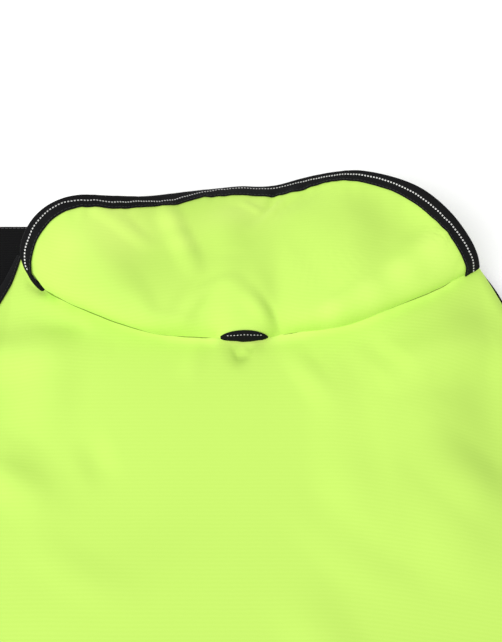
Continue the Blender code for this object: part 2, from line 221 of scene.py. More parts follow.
# The collar from its left end to its right one.
RIBS = (
    Rib(-153, 42, -150, 33, 24, 110, 0.30, 45),
    Rib(-151, 40, -155, 35, 28, 115, 0.33, 45),
    Rib(-149, 38, -160, 40, 33, 122, 0.38, 42),
    Rib(-147, 36, -165, 49, 40, 128, 0.40, 35),
    Rib(-143, 34, -165, 58, 46, 130, 0.40, 25),
    Rib(-138, 31, -160, 70, 52, 132, 0.40, 12),
    Rib(-129, 26, -148, 84, 57, 135, 0.40, 2),
    Rib(-116, 21, -126, 93, 60, 138, 0.40, -4),
    Rib(-93, 12, -101, 101, 47, 138, 0.40, -12),
    Rib(-73, 5, -79, 113, 28, 128, 0.36, -16),
    Rib(-50, 2, -56, 127, 13, 105, 0.31, -22),
    Rib(-21, 0, -26, 138, 5, 70, 0.27, -28),
    Rib(0, -1, -2, 143, 4, 54, 0.25, -26),
    Rib(21, 1, 25, 144, 6, 70, 0.27, -18),
    Rib(42, 6, 49, 142, 20, 98, 0.31, 2),
    Rib(62, 9, 75, 134, 38, 110, 0.33, 15),
    Rib(82, 12, 98, 124, 50, 115, 0.34, 25),
    Rib(108, 20, 129, 105, 58, 118, 0.34, 30),
    Rib(130, 28, 151, 84, 56, 118, 0.34, 32),
    Rib(147, 36, 166, 65, 48, 115, 0.34, 36),
    Rib(158, 42, 173, 54, 40, 110, 0.34, 40),
    Rib(166, 46, 176, 49, 31, 105, 0.34, 44),
)
# Creases of the collar, each a row of points along its curve.
COLLAR_CREASES = (
    (
        Bend(-146, 76, 14, 0),
        Bend(-129, 57, 18, 0.7),
        Bend(-112, 44, 20, 0.4),
        Bend(-93, 32, 20, 0.9),
        Bend(-78, 20, 15, 1.6),
        Bend(-68, 8, 10, 1.3),
        Bend(-45, 6, 7, 1.5),
        Bend(-24, 6, 6, 0),
    ),
    (
        Bend(30, 4, 8, 0),
        Bend(56, 9, 11, 2.8),
        Bend(80, 18, 15, 3.6),
        Bend(100, 30, 19, 2.2),
        Bend(119, 46, 20, 2.2),
        Bend(138, 60, 18, 1.8),
        Bend(152, 68, 16, 0),
    ),
    (
        Bend(60, 128, 30, 0),
        Bend(66, 100, 38, 5.8),
        Bend(78, 58, 34, 5.4),
        Bend(86, 24, 20, 0.6),
        Bend(90, 10, 12, 0),
    ),
    (
        Bend(-64, 112, 12, 0),
        Bend(-60, 102, 14, 2.6),
        Bend(-50, 78, 14, 2.9),
        Bend(-40, 54, 13, 2.5),
        Bend(-34, 36, 10, 0),
    ),
    (
        Bend(-52, 112, 7, -0.3),
        Bend(-49, 100, 7, -0.6),
        Bend(-40, 76, 7, -0.9),
        Bend(-32, 54, 7, -0.4),
        Bend(-29, 38, 7, 0),
    ),
    (
        Bend(-118, 90, 9, 0),
        Bend(-108, 84, 10, 1.6),
        Bend(-93, 78, 10, 1.7),
        Bend(-79, 70, 10, 1.5),
        Bend(-67, 62, 9, 0),
    ),
    (Bend(-90, 97, 6, -0.2), Bend(-87, 91, 6, -0.7), Bend(-83, 85, 6, -0.6), Bend(-76, 76, 7, 0)),
    (
        Bend(24, 132, 6, -1.2),
        Bend(22, 124, 6, -1.9),
        Bend(18, 109, 6, -1.6),
        Bend(9, 94, 6, -0.6),
        Bend(3, 85, 7, 0),
    ),
    (
        Bend(46, 134, 8, 0),
        Bend(38, 126, 8, 1.8),
        Bend(25, 111, 8, 1.6),
        Bend(10, 89, 9, 0.9),
        Bend(2, 76, 9, 0),
    ),
    (Bend(-6, 124, 6, 0), Bend(2, 117, 6, 1.0), Bend(10, 110, 6, 1.0), Bend(15, 104, 5, 0)),
    (
        Bend(-5, 39, 10, 0),
        Bend(6, 30, 9, -0.4),
        Bend(13, 21, 7, -0.8),
        Bend(19, 15, 5.5, -1.2),
        Bend(24, 8, 4.5, -1.3),
        Bend(27, 2, 3.5, -0.8),
    ),
    (
        Bend(-16, 38, 12, 0),
        Bend(-4, 28, 12, 1.0),
        Bend(8, 17, 10, 2.0),
        Bend(14, 9, 8, 1.8),
        Bend(19, 2, 6, 0.4),
    ),
    (
        Bend(-48, 4, 7, 0),
        Bend(-40, 14, 8, 1.4),
        Bend(-29, 27, 9, 1.8),
        Bend(-14, 34, 9, 1.0),
        Bend(2, 33, 9, 0),
    ),
    (Bend(-52, 10, 8, 0), Bend(-45, 22, 8, -0.6), Bend(-34, 34, 8, -0.6), Bend(-20, 42, 8, 0)),
    (
        Bend(-134, 84, 22, 0),
        Bend(-112, 106, 34, 0.5),
        Bend(-80, 116, 40, 3.4),
        Bend(-45, 128, 36, 3.4),
        Bend(-8, 138, 26, 2.0),
    ),
    (
        Bend(-126, 74, 20, -0.2),
        Bend(-110, 72, 26, -0.8),
        Bend(-92, 66, 30, -1.8),
        Bend(-76, 56, 26, -1.0),
        Bend(-62, 46, 20, 0),
    ),
    (Bend(28, 120, 30, 0), Bend(36, 96, 36, 5.0), Bend(44, 60, 36, 4.6), Bend(52, 26, 24, 0)),
    (
        Bend(84, 122, 28, 0),
        Bend(104, 104, 32, -2.4),
        Bend(124, 88, 32, -3.4),
        Bend(140, 74, 26, -2.4),
        Bend(150, 66, 18, 0),
    ),
    (Bend(66, 40, 24, 0), Bend(96, 56, 30, -2.4), Bend(124, 74, 28, -3.0), Bend(140, 84, 20, 0)),
    (Bend(-10, 116, 26, 0), Bend(-12, 86, 30, 3.2), Bend(-10, 58, 22, 0)),
)
# Painted light and shade on the collar: places where its cloth glows more, up to 1 (painted light), or less,
# down to -1 (painted shade).
COLLAR_PAINTED_LIGHT_AND_SHADE = (
    Hump(-100, 68, 46, 0.85),
    Hump(-84, 96, 46, 0.5),
    Hump(-56, 92, 18, 0.4),
    Hump(-48, 70, 16, 0.4),
    Hump(-52, 84, 40, 0.25),
    Hump(8, 112, 44, 0.5),
    Hump(-22, 100, 30, 0.3),
    Hump(104, 96, 46, -0.6),
    Hump(106, 64, 34, -0.4),
    Hump(66, 74, 40, -0.25),
    Hump(-126, 52, 22, 0.2),
    Hump(62, 10, 14, 0.35),
    Hump(90, 20, 16, 0.4),
    Hump(114, 38, 20, 0.5),
    Hump(140, 54, 24, 0.6),
)
# How much of the panel's edge the collar's roll hides.
SEAM_COVER = (
    Cover(-150, 5.0),
    Cover(-138, 4.8),
    Cover(-122, 5.1),
    Cover(-88, 4.4),
    Cover(-70, 4.0),
    Cover(-51, 2.5),
    Cover(-33, 1.9),
    Cover(-21, 1.3),
    Cover(34, 1.4),
    Cover(64, 0.7),
    Cover(97, 0.5),
    Cover(135, 1.3),
    Cover(154, 2.2),
)
# Painted light and shade on the panel, as on the collar: mostly painted shade, with painted shadow below the
# collar's left end and below the lead hole.
PANEL_PAINTED_LIGHT_AND_SHADE = (
    Hump(-186, 6, 30, -0.6),
    Hump(-160, 4, 30, -0.7),
    Hump(-134, 2, 22, -0.4),
    Hump(118, 4, 32, -0.45),
    Hump(146, 10, 36, -0.7),
    Hump(174, 8, 40, -0.7),
    Hump(150, -40, 46, -0.35),
    Hump(180, -70, 64, -0.45),
    Hump(130, -98, 34, -0.5),
    Hump(168, -124, 60, -0.45),
    Hump(-150, 37, 10, -1.0),
    Hump(-142, 32, 8, -0.7),
    Hump(-7, -9, 5, -0.6),
    Hump(-4, -14, 6, -0.5),
    Hump(0, -16, 6, -0.8),
    Hump(5, -10, 5, -0.8),
    Hump(-2, -20, 9, -0.3),
)
# Creases of the panel, those round the lead hole and the shoulders first.
PANEL_CREASES = (
    (
        Bend(-8, -5, 3.5, 0),
        Bend(-7.5, -10, 4, -0.7),
        Bend(-3, -16, 5, -1.0),
        Bend(2, -14, 4.5, -1.4),
        Bend(5, -8, 3.5, -1.3),
        Bend(6, -4, 3, 0),
    ),
    (Bend(-3, -13, 6, -0.6), Bend(-4, -19, 7, -0.5), Bend(-5, -26, 8, 0)),
    (Bend(112, -14, 30, 0), Bend(118, -30, 32, 1.5), Bend(124, -46, 28, 0)),
    (
        Bend(104, -28, 30, 0),
        Bend(110, -55, 42, 3.0),
        Bend(108, -88, 48, 4.2),
        Bend(102, -125, 48, 4.4),
        Bend(98, -165, 40, 0),
    ),
    (
        Bend(-182, 16, 12, 0),
        Bend(-166, 14, 14, -0.8),
        Bend(-148, 12, 15, -3.2),
        Bend(-128, 9, 12, -2.6),
        Bend(-112, 4, 9, 0),
    ),
    (Bend(-162, 44, 6, -1.4), Bend(-152, 38, 7, -2.4), Bend(-144, 33, 5, -1.0), Bend(-137, 29, 5, 0)),
    (Bend(-185, -100, 14, 0), Bend(-165, -106, 16, 3.5), Bend(-148, -112, 16, 1.8), Bend(-130, -122, 14, 0)),
    (
        Bend(94, -34, 20, 0),
        Bend(118, -24, 26, 4.0),
        Bend(148, -15, 30, 6.4),
        Bend(174, -8, 28, 6.0),
        Bend(200, -4, 22, 0),
    ),
    (
        Bend(-214, -8, 18, 0),
        Bend(-196, -10, 22, 5.0),
        Bend(-176, -12, 24, 6.0),
        Bend(-150, -14, 24, 4.4),
        Bend(-120, -12, 18, 1.8),
        Bend(-96, -8, 14, 0),
    ),
    (
        Bend(134, -34, 28, 0),
        Bend(142, -62, 34, 3.2),
        Bend(146, -98, 38, 4.0),
        Bend(142, -140, 38, 4.2),
        Bend(138, -184, 34, 0),
    ),
    (Bend(-176, -74, 24, 0), Bend(-162, -98, 28, 4.2), Bend(-140, -120, 26, 2.0), Bend(-120, -142, 24, 0)),
    (
        Bend(58, -16, 18, 0),
        Bend(63, -36, 22, 1.8),
        Bend(67, -74, 26, 1.6),
        Bend(70, -110, 28, 3.0),
        Bend(74, -152, 26, 0),
    ),
    (Bend(30, -120, 20, 0), Bend(70, -160, 22, 1.4), Bend(120, -190, 20, 0)),
    (Bend(-150, -140, 18, 0), Bend(-110, -170, 20, 1.3), Bend(-60, -190, 20, 0)),
    (Bend(-20, -300, 22, 0), Bend(10, -360, 24, 1.4), Bend(60, -410, 22, 0)),
    (Bend(-200, -250, 20, 0), Bend(-160, -300, 22, -1.2), Bend(-100, -330, 20, 0)),
    (Bend(150, -230, 20, 0), Bend(110, -290, 22, -1.3), Bend(90, -350, 20, 0)),
    (Bend(-60, -470, 20, 0), Bend(-20, -520, 22, 1.6), Bend(-10, -558, 16, 0)),
    (Bend(160, -480, 18, 0), Bend(150, -520, 18, 1.5), Bend(155, -556, 14, 0)),
)


def spline(at: Points, knots: Iterable[float], values: Iterable) -> Points:
    """Smooth curve that passes through a value at each knot.

    Args:
        at: Places at which the curve is read.
        knots: Places of the values, in rising order.
        values: A number or a row of numbers at each knot.

    Returns:
        The curve's value at each place.
    """
    knots = np.asarray(knots, float)
    values = np.asarray(values, float)
    at = np.clip(at, knots[0], knots[-1])
    slopes = np.gradient(values, knots, axis=0)
    low = np.clip(np.searchsorted(knots, at, side="right") - 1, 0, len(knots) - 2)
    step = knots[low + 1] - knots[low]
    t = (at - knots[low]) / step
    if values.ndim > 1:
        step, t = step[..., None], t[..., None]
    return (
        values[low] * (1 + 2 * t) * (1 - t) ** 2
        + values[low + 1] * (3 - 2 * t) * t**2
        + step * (slopes[low] * t * (1 - t) ** 2 - slopes[low + 1] * t**2 * (1 - t))
    )


def lengths(points: Points) -> Points:
    """Distance run along a row of points, from its first point."""
    steps = np.linalg.norm(np.diff(points, axis=0), axis=1)
    return np.concatenate(([0.0], np.cumsum(steps)))


def unit(vectors: Points) -> Points:
    """Vectors brought to length 1."""
    return vectors / np.maximum(np.linalg.norm(vectors, axis=-1, keepdims=True), 1e-9)


def swell(distance: Points) -> Points:
    """Soft hump: 1 at distance 0, and 0 from distance 1 on."""
    return np.cos(np.clip(np.abs(distance), 0, 1) * math.pi / 2) ** 2


def ramp(x: Points, start: float, end: float) -> Points:
    """Soft step from 0 at start to 1 at end."""
    t = np.clip((x - start) / (end - start), 0, 1)
    return t * t * (3 - 2 * t)


def ridge_height(x: Points, y: Points, ridge: Ridge) -> Points:
    """Height of one straight fold, which fades towards both its ends.

    Args:
        x: X of each place.
        y: Y of each place.
        ridge: The fold.

    Returns:
        The height that the fold adds at each place.
    """
    along = np.array([ridge.x1 - ridge.x0, ridge.y1 - ridge.y0])
    length = np.linalg.norm(along)
    along = along / length
    run = (x - ridge.x0) * along[0] + (y - ridge.y0) * along[1]
    off = (y - ridge.y0) * along[0] - (x - ridge.x0) * along[1]
    return ridge.height * swell(off / ridge.width) * swell((run - length / 2) / (0.65 * length))


def crease_height(x: Points, y: Points, bends: Sequence[Bend]) -> Points:
    """Height of one curved crease at places seen from above.

    Args:
        x: X of each place.
        y: Y of each place.
        bends: The crease's points, whose heights are 0 where it fades out.

    Returns:
        The height that the crease adds at each place.
    """
    table = np.array(bends, float)
    knots = lengths(table[:, :2])
    curve = spline(np.linspace(0, knots[-1], 48), knots, table)
    gaps = np.hypot(x[..., None] - curve[:, 0], y[..., None] - curve[:, 1])
    near = gaps.argmin(axis=-1)
    return curve[near, 3] * swell(gaps.min(axis=-1) / curve[near, 2])


@dataclass
class Grid:
    """Rows and columns of points of a cloth's middle surface, with their places on the flat cloth."""

    points: Points
    cloth: Points


@dataclass
class Surface:
    """A welded surface: its vertices, triangles, normals and places on the flat cloth."""

    vertices: Points
    triangles: Points
    cloth: Points
    numbers: list[Points]
    normals: Points = field(init=False)

    def __post_init__(self) -> None:
        """Work out the normals at the vertices."""
        a, b, c = (self.vertices[self.triangles[:, k]] for k in range(3))
        faces = np.cross(b - a, c - a)
        normals = np.zeros_like(self.vertices)
        for k in range(3):
            np.add.at(normals, self.triangles[:, k], faces)
        self.normals = unit(normals)

    def area(self) -> float:
        """Area of the surface in square metres."""
        a, b, c = (self.vertices[self.triangles[:, k]] for k in range(3))
        return float(np.linalg.norm(np.cross(b - a, c - a), axis=1).sum()) / 2 * MM * MM


def weld(grids: Sequence[Grid]) -> Surface:
    """Join grids that share their borders into one surface.

    Args:
        grids: The grids, whose shared points agree to a thousandth of a millimetre.

    Returns:
        The surface, with a grid of vertex numbers for each grid given.
    """
    numbers: dict[tuple, int] = {}
    vertices, cloth, triangles, tables = [], [], [], []
    for grid in grids:
        rows, columns = grid.points.shape[:2]
        table = np.zeros((rows, columns), int)
        keys = np.round(grid.points, 3).tolist()
        for i in range(rows):
            for j in range(columns):
                key = tuple(keys[i][j])
                if key not in numbers:
                    numbers[key] = len(vertices)
                    vertices.append(grid.points[i, j])
                    cloth.append(grid.cloth[i, j])
                table[i, j] = numbers[key]
        a, b, c, d = table[:-1, :-1], table[1:, :-1], table[1:, 1:], table[:-1, 1:]
        for corners in ((a, b, c), (a, c, d)):
            triangles.append(np.stack(corners, axis=-1).reshape(-1, 3))
        tables.append(table)
    faces = np.concatenate(triangles)
    whole = (faces[:, 0] != faces[:, 1]) & (faces[:, 1] != faces[:, 2]) & (faces[:, 0] != faces[:, 2])
    return Surface(np.array(vertices), faces[whole], np.array(cloth), tables)


@dataclass(frozen=True)
class Fineness:
    """How many stations and rows the visible surfaces have."""

    side: int = 100
    neck: int = 42
    hole: int = 20
    collar: int = 92
    collar_body: int = 60
    ring: tuple[float, ...] = (
        *(0, 1.8, 3.7, 5.5, 7.3, 9.2, 11, 13, 15, 17),
        *(19, 21.5, 24, 26.5, 29, 32, 35, 38.5, 42),
    )


@dataclass(frozen=True)
class CoatForm:
    """The coat's sizes in millimetres, and the middle surfaces of its two cloth pieces."""

    wall: float = 2.0
    tape: float = 0.9
    gap: float = 0.3
    band: float = 11.0
    edge_room: float = 0.8
    neck_fall: float = 150.0
    corner_row: int = 4
    full_turn: float = math.radians(160)
    tightest_turn: float = 9.5
    tip_blend: float = 35.6
    side_crowding: float = 1.45
    hole_half: float = 21.0
    lip_half: float = 17.5
    lip_lift: float = 9.5
    lip_direction: tuple[float, float, float] = (0.0, -0.5, 0.866)
    edge_pull: float = 0.33
    easing_rounds: int = 14
    seam_sink: float = 0.35
    seam_pucker: float = 0.35
    seam_pucker_reach: float = 16.0
    edge_pucker: float = 0.4
    edge_pucker_reach: float = 15.0
    left_hole_rib: int = 11
    right_hole_rib: int = 13
    chest_strap_y: tuple[float, float] = (32.0, 107.0)
    chest_strap_left: float = -300.0
    chest_strap_right: tuple[tuple[float, float], ...] = (
        (180.0, 32.0),
        (176.0, 56.0),
        (150.0, 80.0),
        (118.0, 107.0),
    )
    chest_strap_corner: float = 14.0
    chest_strap_thick: float = 2.2
    belly_strap_y: float = -285.0
    belly_strap_wide: float = 40.0
    belly_strap_x: tuple[float, float] = (-205.0, 352.0)
    belly_strap_thick: float = 2.0
    strap_margin: float = 30.0
    strap_slope: float = 24.0
    fineness: Fineness = Fineness()

    @property
    def tape_inside(self) -> float:
        """Distance from the middle of a wall to the inner skin of the tape round it."""
        return self.wall / 2 + 1.3 * self.gap

    @property
    def tape_outside(self) -> float:
        """Distance from the middle of a wall to the outer skin of the tape round it."""
        return self.tape_inside + self.tape

    @property
    def tape_nose(self) -> float:
        """How far the tape reaches past the cloth's edge."""
        return self.edge_room + 1.4 * self.tape

    def straps_below(self, x: Points, y: Points) -> Points:
        """Rise of the panel over the two straps that lie under it.

        Args:
            x: X of each place.
            y: Y of each place.

        Returns:
            The rise at each place.
        """
        chest_edge = self.chest_strap_y[0] - self.strap_margin / 2
        chest = ramp(y, chest_edge - self.strap_slope, chest_edge)
        belly_edge = self.belly_strap_wide / 2 + self.strap_margin
        belly = ramp(-np.abs(y - self.belly_strap_y), -belly_edge - self.strap_slope, -belly_edge)
        sewn_edge = self.belly_strap_x[0] - self.strap_margin
        belly = belly * ramp(x, sewn_edge - self.strap_slope, sewn_edge)
        return (self.chest_strap_thick + self.gap) * chest + (self.belly_strap_thick + self.gap) * belly

    def neck_y(self, x: Points) -> Points:
        """Y of the neckline at X."""
        return spline(x, [row.x for row in NECKLINE], [row.y for row in NECKLINE])

    def base_height(self, x: Points, y: Points) -> Points:
        """Height of the middle of the panel's wall with its large folds alone.

        Args:
            x: X of each place.
            y: Y of each place.

        Returns:
            The height at each place.
        """
        lift = spline(x, [row.x for row in NECKLINE], [row.lift for row in NECKLINE])
        height = self.wall / 2 + self.straps_below(x, y)
        height = height + lift * swell((self.neck_y(x) - y) / self.neck_fall)
        height = height + sum(ridge_height(x, y, ridge) for ridge in PANEL_FOLDS)
        for hump in PANEL_HUMPS:
            height = height + hump.height * swell(np.hypot(x - hump.x, y - hump.y) / hump.reach)
        return height

    def sheet_height(self, x: Points, y: Points) -> Points:
        """Height of the middle of the panel's wall with its creases, before its edge is turned.

        Args:
            x: X of each place.
            y: Y of each place.

        Returns:
            The height at each place.
        """
        height = self.base_height(x, y) + sum(crease_height(x, y, bends) for bends in PANEL_CREASES)
        below_seam = self.neck_y(x) - y
        pucker = np.sin(x / 3.1 + 2 * np.sin(x / 23)) * np.sin(x / 11 + 1)
        return height + self.seam_pucker * pucker * swell(below_seam / self.seam_pucker_reach)

    def seam_line(self, start: float, end: float) -> Points:
        """Points on the panel's skin just in front of the collar's roll.

        Args:
            start: X of the first point.
            end: X of the last point.

        Returns:
            The points, about 1.5 mm apart.
        """
        cover = np.array(SEAM_COVER, float)
        x = np.linspace(start, end, int((end - start) / 1.5) + 2)
        y = self.neck_y(x) - np.interp(x, cover[:, 0], cover[:, 1])
        return np.stack((x, y, self.sheet_height(x, y) + self.wall / 2), axis=1)

    def outline(self) -> tuple[Points, Points, Points]:
        """Stations of the panel's edge, from the left shoulder's tip round the tail to the right one's.

        Returns:
            Their points, the directions inwards, and the shares by which the edge is turned down.
        """
        left = [Side(-row.x, row.y, row.fold) for row in FLANK]
        rows = [*LEFT_SHOULDER, *left, TAIL, *reversed(FLANK), *reversed(RIGHT_SHOULDER)]
        table = np.array(rows, float)
        knots = lengths(table[:, :2])
        corner = len(LEFT_SHOULDER) + self.corner_row
        other = len(rows) - 1 - corner
        fine = self.fineness
        shares = np.linspace(0, 1, fine.side + 1) ** self.side_crowding
        down = knots[corner] * shares
        tail = np.linspace(knots[corner], knots[other], 2 * fine.neck + fine.hole + 1)
        up = knots[-1] - (knots[-1] - knots[other]) * shares[::-1]
        at = np.concatenate((down, tail[1:], up[1:]))
        placed = spline(at, knots, table)
        along = unit(np.gradient(placed[:, :2], at, axis=0))
        inward = np.stack((-along[:, 1], along[:, 0]), axis=1)
        for tip, run in ((NECKLINE[:2], at), (NECKLINE[:-3:-1], at[-1] - at)):
            towards = unit(np.array([tip[1].x - tip[0].x, tip[1].y - tip[0].y], float))
            share = (np.clip(run / self.tip_blend, 0, 1) ** 0.69)[:, None]
            inward = unit(towards * (1 - share) + inward * share)
        return placed[:, :2], inward, np.clip(placed[:, 2], 0, 1)

    def turned_edge(self) -> Grid:
        """Rows of the panel from its edge inwards, round the turn at the shoulders.

        Returns:
            A row of points to each station of the edge.
        """
        points, inward, fold = self.outline()
        under = self.tape_outside + self.gap + self.straps_below(points[:, 0], points[:, 1])
        reach = np.zeros(len(points))
        for _ in range(6):
            place = points + inward * reach[:, None]
            top = self.sheet_height(place[:, 0], place[:, 1])
            drop = np.maximum(top - under, 0) * fold
            turn = np.arccos(np.maximum(1 - drop / self.tightest_turn, math.cos(self.full_turn)))
            radius = np.where(drop > 0, drop / np.maximum(1 - np.cos(turn), 1e-9), 0)
            reach = radius * np.sin(np.minimum(turn, math.pi / 2))
        rows = []
        for run in self.fineness.ring:
            angle = np.maximum(turn - run / np.maximum(radius, 1e-9), 0)
            bent = run < radius * turn
            out = np.where(bent, reach - radius * np.sin(angle), reach + run - radius * turn)
            place = points + inward * out[:, None]
            flat = self.sheet_height(place[:, 0], place[:, 1])
            flat += (self.tape + 2 * self.gap) * ramp(-run, -self.band - 25, -self.band) * (1 - fold)
            height = np.where(bent, top - radius * (1 - np.cos(angle)), flat)
            rows.append(np.column_stack((place, height)))
        grid = np.stack(rows, axis=1)
        depth = self.fineness.ring[-1] - np.array(self.fineness.ring)
        cloth = grid[:, -1:, :2] - inward[:, None] * depth[None, :, None]
        return Grid(grid, cloth)

    def panel(self) -> Surface:
        """The panel's middle surface: rows along its turned edge, and the field inside them.

        Returns:
            The welded surface.
        """
        edge = self.turned_edge()
        fine = self.fineness
        inner = edge.points[:, -1]
        left = inner[: fine.side + 1]
        tail = inner[fine.side : len(inner) - fine.side]
        right = inner[: -fine.side - 2 : -1]
        across = np.concatenate(
            (
                np.linspace(left[0, 0], -self.hole_half, fine.neck + 1),
                np.linspace(-self.hole_half, self.hole_half, fine.hole + 1)[1:],
                np.linspace(self.hole_half, right[0, 0], fine.neck + 1)[1:],
            )
        )
        neck = np.stack((across, self.neck_y(across)), axis=1)
        neck[0], neck[-1] = left[0, :2], right[0, :2]
        v = (np.linspace(0, 1, fine.side + 1) ** self.side_crowding)[:, None, None]
        u = np.linspace(0, 1, len(across))[None, :, None]
        flat = (1 - v) * neck[None] + v * tail[None, :, :2]
        flat = flat + (1 - u) * left[:, None, :2] + u * right[:, None, :2]
        flat -= (1 - v) * ((1 - u) * neck[0] + u * neck[-1])
        flat -= v * ((1 - u) * tail[0, :2] + u * tail[-1, :2])
        height = self.sheet_height(flat[..., 0], flat[..., 1])
        field_points = np.concatenate((flat, height[..., None]), axis=2)
        field_points[:, 0], field_points[:, -1], field_points[-1] = left, right, tail
        return weld([edge, Grid(field_points, field_points[..., :2].copy())])

    def hole_opening(self, x: Points) -> Points:
        """Share by which the upper lip of the lead hole is lifted at X."""
        return np.clip(1 - (np.abs(x) / self.hole_half) ** 4, 0, 1)

    def collar_rib(self, row: Points) -> tuple[Points, Points]:
        """Points of one rib from the seam to the free edge, and their places on the flat cloth.

        Args:
            row: The rib's numbers, in the order of Rib.

        Returns:
            The points, and their places on the flat cloth.
        """
        rib = Rib(*row)
        rise, slope = math.radians(rib.rise), math.radians(rib.slope)
        seam_x, seam_y = np.array([rib.seam_x]), np.array([rib.seam_y])
        base = float(self.base_height(seam_x, seam_y)[0]) + self.wall / 2 + 1.5 * self.gap
        seam_z = base + abs(math.cos(rise)) * self.wall / 2 - self.seam_sink
        seam = np.array([rib.seam_x, rib.seam_y, seam_z])
        seam = seam + np.array(self.lip_direction) * self.lip_lift * float(self.hole_opening(rib.seam_x))
        out = unit(np.array([rib.edge_x - rib.seam_x, rib.edge_y - rib.seam_y, 0.0]))
        along = out * math.cos(slope) + np.array([0.0, 0.0, math.sin(slope)])
        edge = np.array([rib.edge_x, rib.edge_y, rib.edge_z]) - along * self.tape_nose
        chord = np.linalg.norm(edge - seam)
        first = seam + rib.roll * chord * np.array([0.0, math.cos(rise), math.sin(rise)])
        last = edge - self.edge_pull * chord * along
        t = np.linspace(0, 1, 90)[:, None]
        curve = (1 - t) ** 3 * seam + 3 * (1 - t) ** 2 * t * first + 3 * (1 - t) * t**2 * last + t**3 * edge
        run = lengths(curve)
        band = min(self.band, 0.6 * run[-1])
        body = np.linspace(0, run[-1] - band, self.fineness.collar_body)
        at = np.concatenate((body, run[-1] - band * np.linspace(1, 0, 8)[1:]))
        cloth = np.array([rib.seam_x, rib.seam_y]) + out[:2] * at[:, None]
        return spline(at, run, curve), cloth

    def eased(self, grid: Points) -> Points:
        """The collar's points with the bends from rib to rib evened out, but for those at the seam.

        Args:
            grid: The points, a row to each station.

        Returns:
            The same rows of points, evened out.
        """
        grid = grid.copy()
        run = np.linalg.norm(grid - grid[:, :1], axis=2)[1:-1, :, None]
        share = ramp(run, 0.5, 12)
        for _ in range(self.easing_rounds):
            grid[1:-1] += share * (0.25 * grid[:-2] - 0.5 * grid[1:-1] + 0.25 * grid[2:])
        return grid

    def collar(self) -> Surface:
        """The collar's middle surface, a row of points to each station.

        Returns:
            The welded surface.
        """
        fine = self.fineness
        stations = np.concatenate(
            (
                np.linspace(0, self.left_hole_rib, fine.collar + 1),
                np.linspace(self.left_hole_rib, self.right_hole_rib, fine.hole + 1)[1:],
                np.linspace(self.right_hole_rib, len(RIBS) - 1, fine.collar + 1)[1:],
            )
        )
        table = spline(stations, np.arange(len(RIBS)), np.array(RIBS, float))
        ribs = [self.collar_rib(row) for row in table]
        grid = np.array([points for points, _ in ribs])
        cloth = np.array([flat for _, flat in ribs])
        grid = self.eased(grid)
        normal = unit(np.cross(np.gradient(grid, axis=0), np.gradient(grid, axis=1)))
        off = sum(crease_height(grid[..., 0], grid[..., 1], bends) for bends in COLLAR_CREASES)
        along = lengths(grid[:, -1])[:, None]
        in_from_edge = np.linalg.norm(grid - grid[:, -1:], axis=2)
        pucker = np.sin(along / 2.4 + 2 * np.sin(along / 17)) * np.sin(along / 13 + 0.5)
        off = off + self.edge_pucker * pucker * swell((in_from_edge - self.band) / self.edge_pucker_reach)
        return weld([Grid(grid + normal * off[..., None], cloth)])


@dataclass
class Body:
    """A mesh in the making: vertices, faces, places on the flat cloth and what each face is made of."""

    vertices: list[Points] = field(default_factory=list)
    cloth: list[Points] = field(default_factory=list)
    faces: list[tuple[int, ...]] = field(default_factory=list)
    layers: list[int] = field(default_factory=list)

    def add(self, vertices: Points, cloth: Points, faces: Iterable[Sequence[int]], layer: Layer) -> None:
        """Add a closed shape.

        Args:
            vertices: Its points in millimetres.
            cloth: Their places on the flat cloth in millimetres.
            faces: Its faces, numbered from the shape's first point.
            layer: What the shape is made of.
        """
        first = sum(len(block) for block in self.vertices)
        made = [tuple(int(k) + first for k in face) for face in faces]
        self.vertices.append(np.asarray(vertices, float))
        self.cloth.append(np.asarray(cloth, float))
        self.faces += made
        self.layers += [layer.value] * len(made)

    def make(self, name: str, origin: Vector, materials: Sequence[bpy.types.Material]) -> bpy.types.Object:
        """The finished object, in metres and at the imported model's place.

        Args:
            name: The object's name.
            origin: Where the middle of the lead hole is.
            materials: One material for each layer that the piece has.

        Returns:
            The new object, linked to the scene.
        """
        vertices = np.concatenate(self.vertices) * MM + np.array(origin)
        cloth = np.concatenate(self.cloth)
        mesh = bpy.data.meshes.new(name)
        mesh.from_pydata(vertices.tolist(), [], self.faces)
        for finish in materials:
            mesh.materials.append(finish)
        mesh.polygons.foreach_set("material_index", self.layers)
        corner = np.zeros(len(mesh.loops), np.int32)
        mesh.loops.foreach_get("vertex_index", corner)
        places = mesh.uv_layers.new(name=CLOTH_MAP)
        places.uv.foreach_set("vector", cloth[corner].astype(np.float32).ravel())
        mesh.shade_smooth()
        mesh.set_sharp_from_angle(angle=math.radians(SHARP_ANGLE))
        mesh.update()
        made = bpy.data.objects.new(name, mesh)
        bpy.context.scene.collection.objects.link(made)
        return made


def wall_of(surface: Surface, half: Points, cloth: Points) -> tuple[Points, Points, list]:
    """A wall of cloth about a middle surface: two skins and the strip round them.

    Args:
        surface: The middle surface.
        half: Half the wall's thickness at each vertex.
        cloth: Places on the flat cloth, one to a vertex.

    Returns:
        Vertices, places on the flat cloth, and faces.
    """
    outer = surface.vertices + surface.normals * half[:, None]
    inner = surface.vertices - surface.normals * half[:, None]
    inner[:, 2] = np.maximum(inner[:, 2], 0)
    outer[:, 2] = np.maximum(outer[:, 2], 0)
    count = len(outer)
    triangles = surface.triangles
    edges = {(t[k], t[(k + 1) % 3]) for t in triangles.tolist() for k in range(3)}
    border = sorted((a, b) for a, b in edges if (b, a) not in edges)
    strip = [(a, a + count, b + count, b) for a, b in border]
    faces = triangles.tolist() + (triangles[:, ::-1] + count).tolist() + strip
    return np.concatenate((outer, inner)), np.concatenate((cloth, cloth)), faces


